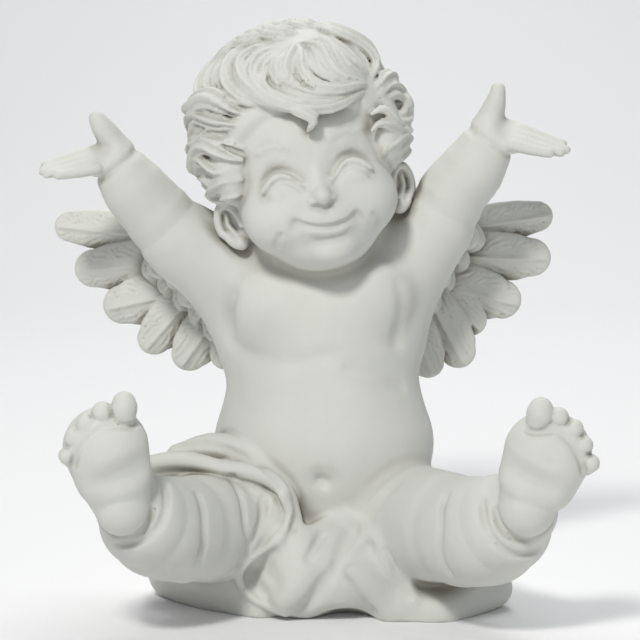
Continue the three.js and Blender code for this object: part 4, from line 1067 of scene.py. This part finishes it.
class Shader:
    def __init__(self, name):
        self.material = bpy.data.materials.new(name)
        self.material.use_nodes = True
        self.tree = self.material.node_tree
        self.surface = self.tree.nodes["Principled BSDF"]

    def node(self, kind, settings, inputs, output=0):
        node = self.tree.nodes.new(kind)
        for name, value in settings.items():
            if name == "stops":
                first, last = node.color_ramp.elements
                for element, (place, colour) in zip((first, last), value):
                    element.position = place
                    element.color = colour
            else:
                setattr(node, name, value)
        for name, value in inputs.items():
            plug(self.tree, value, node.inputs[name])
        return Wire(self.tree, node.outputs[output])

    def set(self, name, value):
        plug(self.tree, value, self.surface.inputs[name])


stoneLook = {
    "pale": (0.66, 0.665, 0.615, 1),
    "grey": (0.58, 0.588, 0.555, 1),
    # painted shade: the colour that hollows and creases are darkened towards, standing in for the shade that
    # falls there
    "paintedShadeColour": (0.25, 0.235, 0.19, 1),
    "cloudSize": 14,
    "grainSize": 900,
    "roughness": 0.62,
}


def makeStone():
    shader = Shader("castStone")
    spot = shader.node("ShaderNodeTexCoord", {}, {}, "Object")
    cloud = shader.node("ShaderNodeTexNoise", {}, {"Vector": spot, "Scale": stoneLook["cloudSize"],
                                                   "Detail": 4.0, "Roughness": 0.55}, "Fac")
    grain = shader.node("ShaderNodeTexNoise", {}, {"Vector": spot, "Scale": stoneLook["grainSize"],
                                                   "Detail": 2.0, "Roughness": 0.6}, "Fac")
    hollow = shader.node("ShaderNodeAttribute", {"attribute_name": "hollow"}, {}, "Fac")
    tone = shader.node("ShaderNodeValToRGB", {"stops": ((0.35, stoneLook["pale"]),
                                                        (0.75, stoneLook["grey"]))}, {"Fac": cloud}, "Color")
    # painted shade: the more stone stands near a point, the further its colour goes towards the dark shade
    # colour
    paintedShade = shader.node("ShaderNodeMapRange", {}, {"Value": hollow + cloud * 0.2, "From Min": 0.24,
                                                  "From Max": 0.95, "To Min": 0.0, "To Max": 0.9})
    colour = shader.node("ShaderNodeMix", {"data_type": "RGBA"}, {"Factor": paintedShade}, "Result")
    mixNode = colour.socket.node  # inputs 6 and 7 are its two colours, output 2 the mixed one
    plug(shader.tree, tone, mixNode.inputs[6])
    plug(shader.tree, stoneLook["paintedShadeColour"], mixNode.inputs[7])
    shader.tree.links.new(mixNode.outputs[2], shader.surface.inputs["Base Color"])
    shader.set("Roughness", stoneLook["roughness"] + grain * 0.15)
    relief = shader.node("ShaderNodeBump", {}, {"Height": grain, "Strength": 0.12, "Distance": 0.0004},
                         "Normal")
    shader.set("Normal", relief)
    return shader.material


def makePaper():
    shader = Shader("palePaper")
    shader.set("Base Color", (0.86, 0.86, 0.86, 1))
    shader.set("Roughness", 0.9)
    return shader.material


statue.data.materials.clear()
statue.data.materials.append(makeStone())
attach(statue, "root")
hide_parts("statue")
print("stone material done")


# The pale sweep that it stands on, the lights and the camera

studio = {
    "sweepWidth": 6,  # metres
    "sweepFront": -4,
    "sweepDepth": 2.2,
    "sweepHeight": 3,
    "curve": 0.8,
    "world": (0.93, 0.95, 1),
    "worldStrength": 0.3,
}
lights = [  # place, power in watts, size and colour
    ((-0.5, -1.5, 1.6), 27, 0.3, (1, 0.99, 0.97)),
    ((1.6, -0.9, 0.8), 1.8, 0.7, (0.94, 0.97, 1)),
    ((0.2, 1.2, 2.2), 30, 1.4, (1, 1, 1)),
]


def makeSweep():
    bm = bmesh.new()
    half = studio["sweepWidth"] / 2
    back = studio["sweepDepth"]
    curve = studio["curve"]
    profile = [(studio["sweepFront"], 0), (back - curve, 0)]
    for n in range(1, 13):
        angle = math.radians(90 * n / 12)
        profile.append((back - curve + curve * math.sin(angle), curve * (1 - math.cos(angle))))
    profile.append((back, studio["sweepHeight"]))
    verts = [bm.verts.new((-half, y, z)) for y, z in profile]
    edges = [bm.edges.new(pair) for pair in zip(verts, verts[1:])]
    made = bmesh.ops.extrude_edge_only(bm, edges=edges)
    moved = [v for v in made["geom"] if isinstance(v, bmesh.types.BMVert)]
    bmesh.ops.translate(bm, verts=moved, vec=(2 * half, 0, 0))
    bmesh.ops.recalc_face_normals(bm, faces=bm.faces[:])
    for face in bm.faces:
        face.smooth = True
    mesh = bpy.data.meshes.new("sweep")
    bm.to_mesh(mesh)
    bm.free()
    sweep = bpy.data.objects.new("sweep", mesh)
    bpy.context.scene.collection.objects.link(sweep)
    mesh.materials.append(makePaper())


def aim(thing, target):
    way = Vector(target) - thing.location
    thing.rotation_euler = way.to_track_quat("-Z", "Y").to_euler()


def makeLights():
    middle = (0, 0, 0.5 * boxHigh[2])
    for n, (place, power, size, colour) in enumerate(lights):
        data = bpy.data.lights.new(f"light{n}", "AREA")
        data.energy = power
        data.size = size
        data.color = colour
        light = bpy.data.objects.new(f"light{n}", data)
        light.location = place
        bpy.context.scene.collection.objects.link(light)
        aim(light, middle)
    world = bpy.data.worlds.new("studio")
    world.use_nodes = True
    background = world.node_tree.nodes["Background"]
    background.inputs["Color"].default_value = (*studio["world"], 1)
    background.inputs["Strength"].default_value = studio["worldStrength"]
    bpy.context.scene.world = world


cameraSettings = {
    "elevation": 7,  # degrees
    "distance": 408,  # parts
    "target": 48.1,  # parts above the ground
    "focal": 2355,  # pixels
    "frame": 640,  # pixels
}


def makeCamera():
    data = bpy.data.cameras.new("camera")
    data.sensor_width = 36
    data.lens = data.sensor_width * cameraSettings["focal"] / cameraSettings["frame"]
    camera = bpy.data.objects.new("camera", data)
    angle = math.radians(cameraSettings["elevation"])
    reach = cameraSettings["distance"] * part
    target = Vector((0, 0, cameraSettings["target"] * part))
    camera.location = target + Vector((0, -math.cos(angle), math.sin(angle))) * reach
    bpy.context.scene.collection.objects.link(camera)
    aim(camera, target)
    bpy.context.scene.camera = camera


makeSweep()
makeLights()
makeCamera()
bpy.context.scene.view_settings.view_transform = "Standard"
print("studio done")
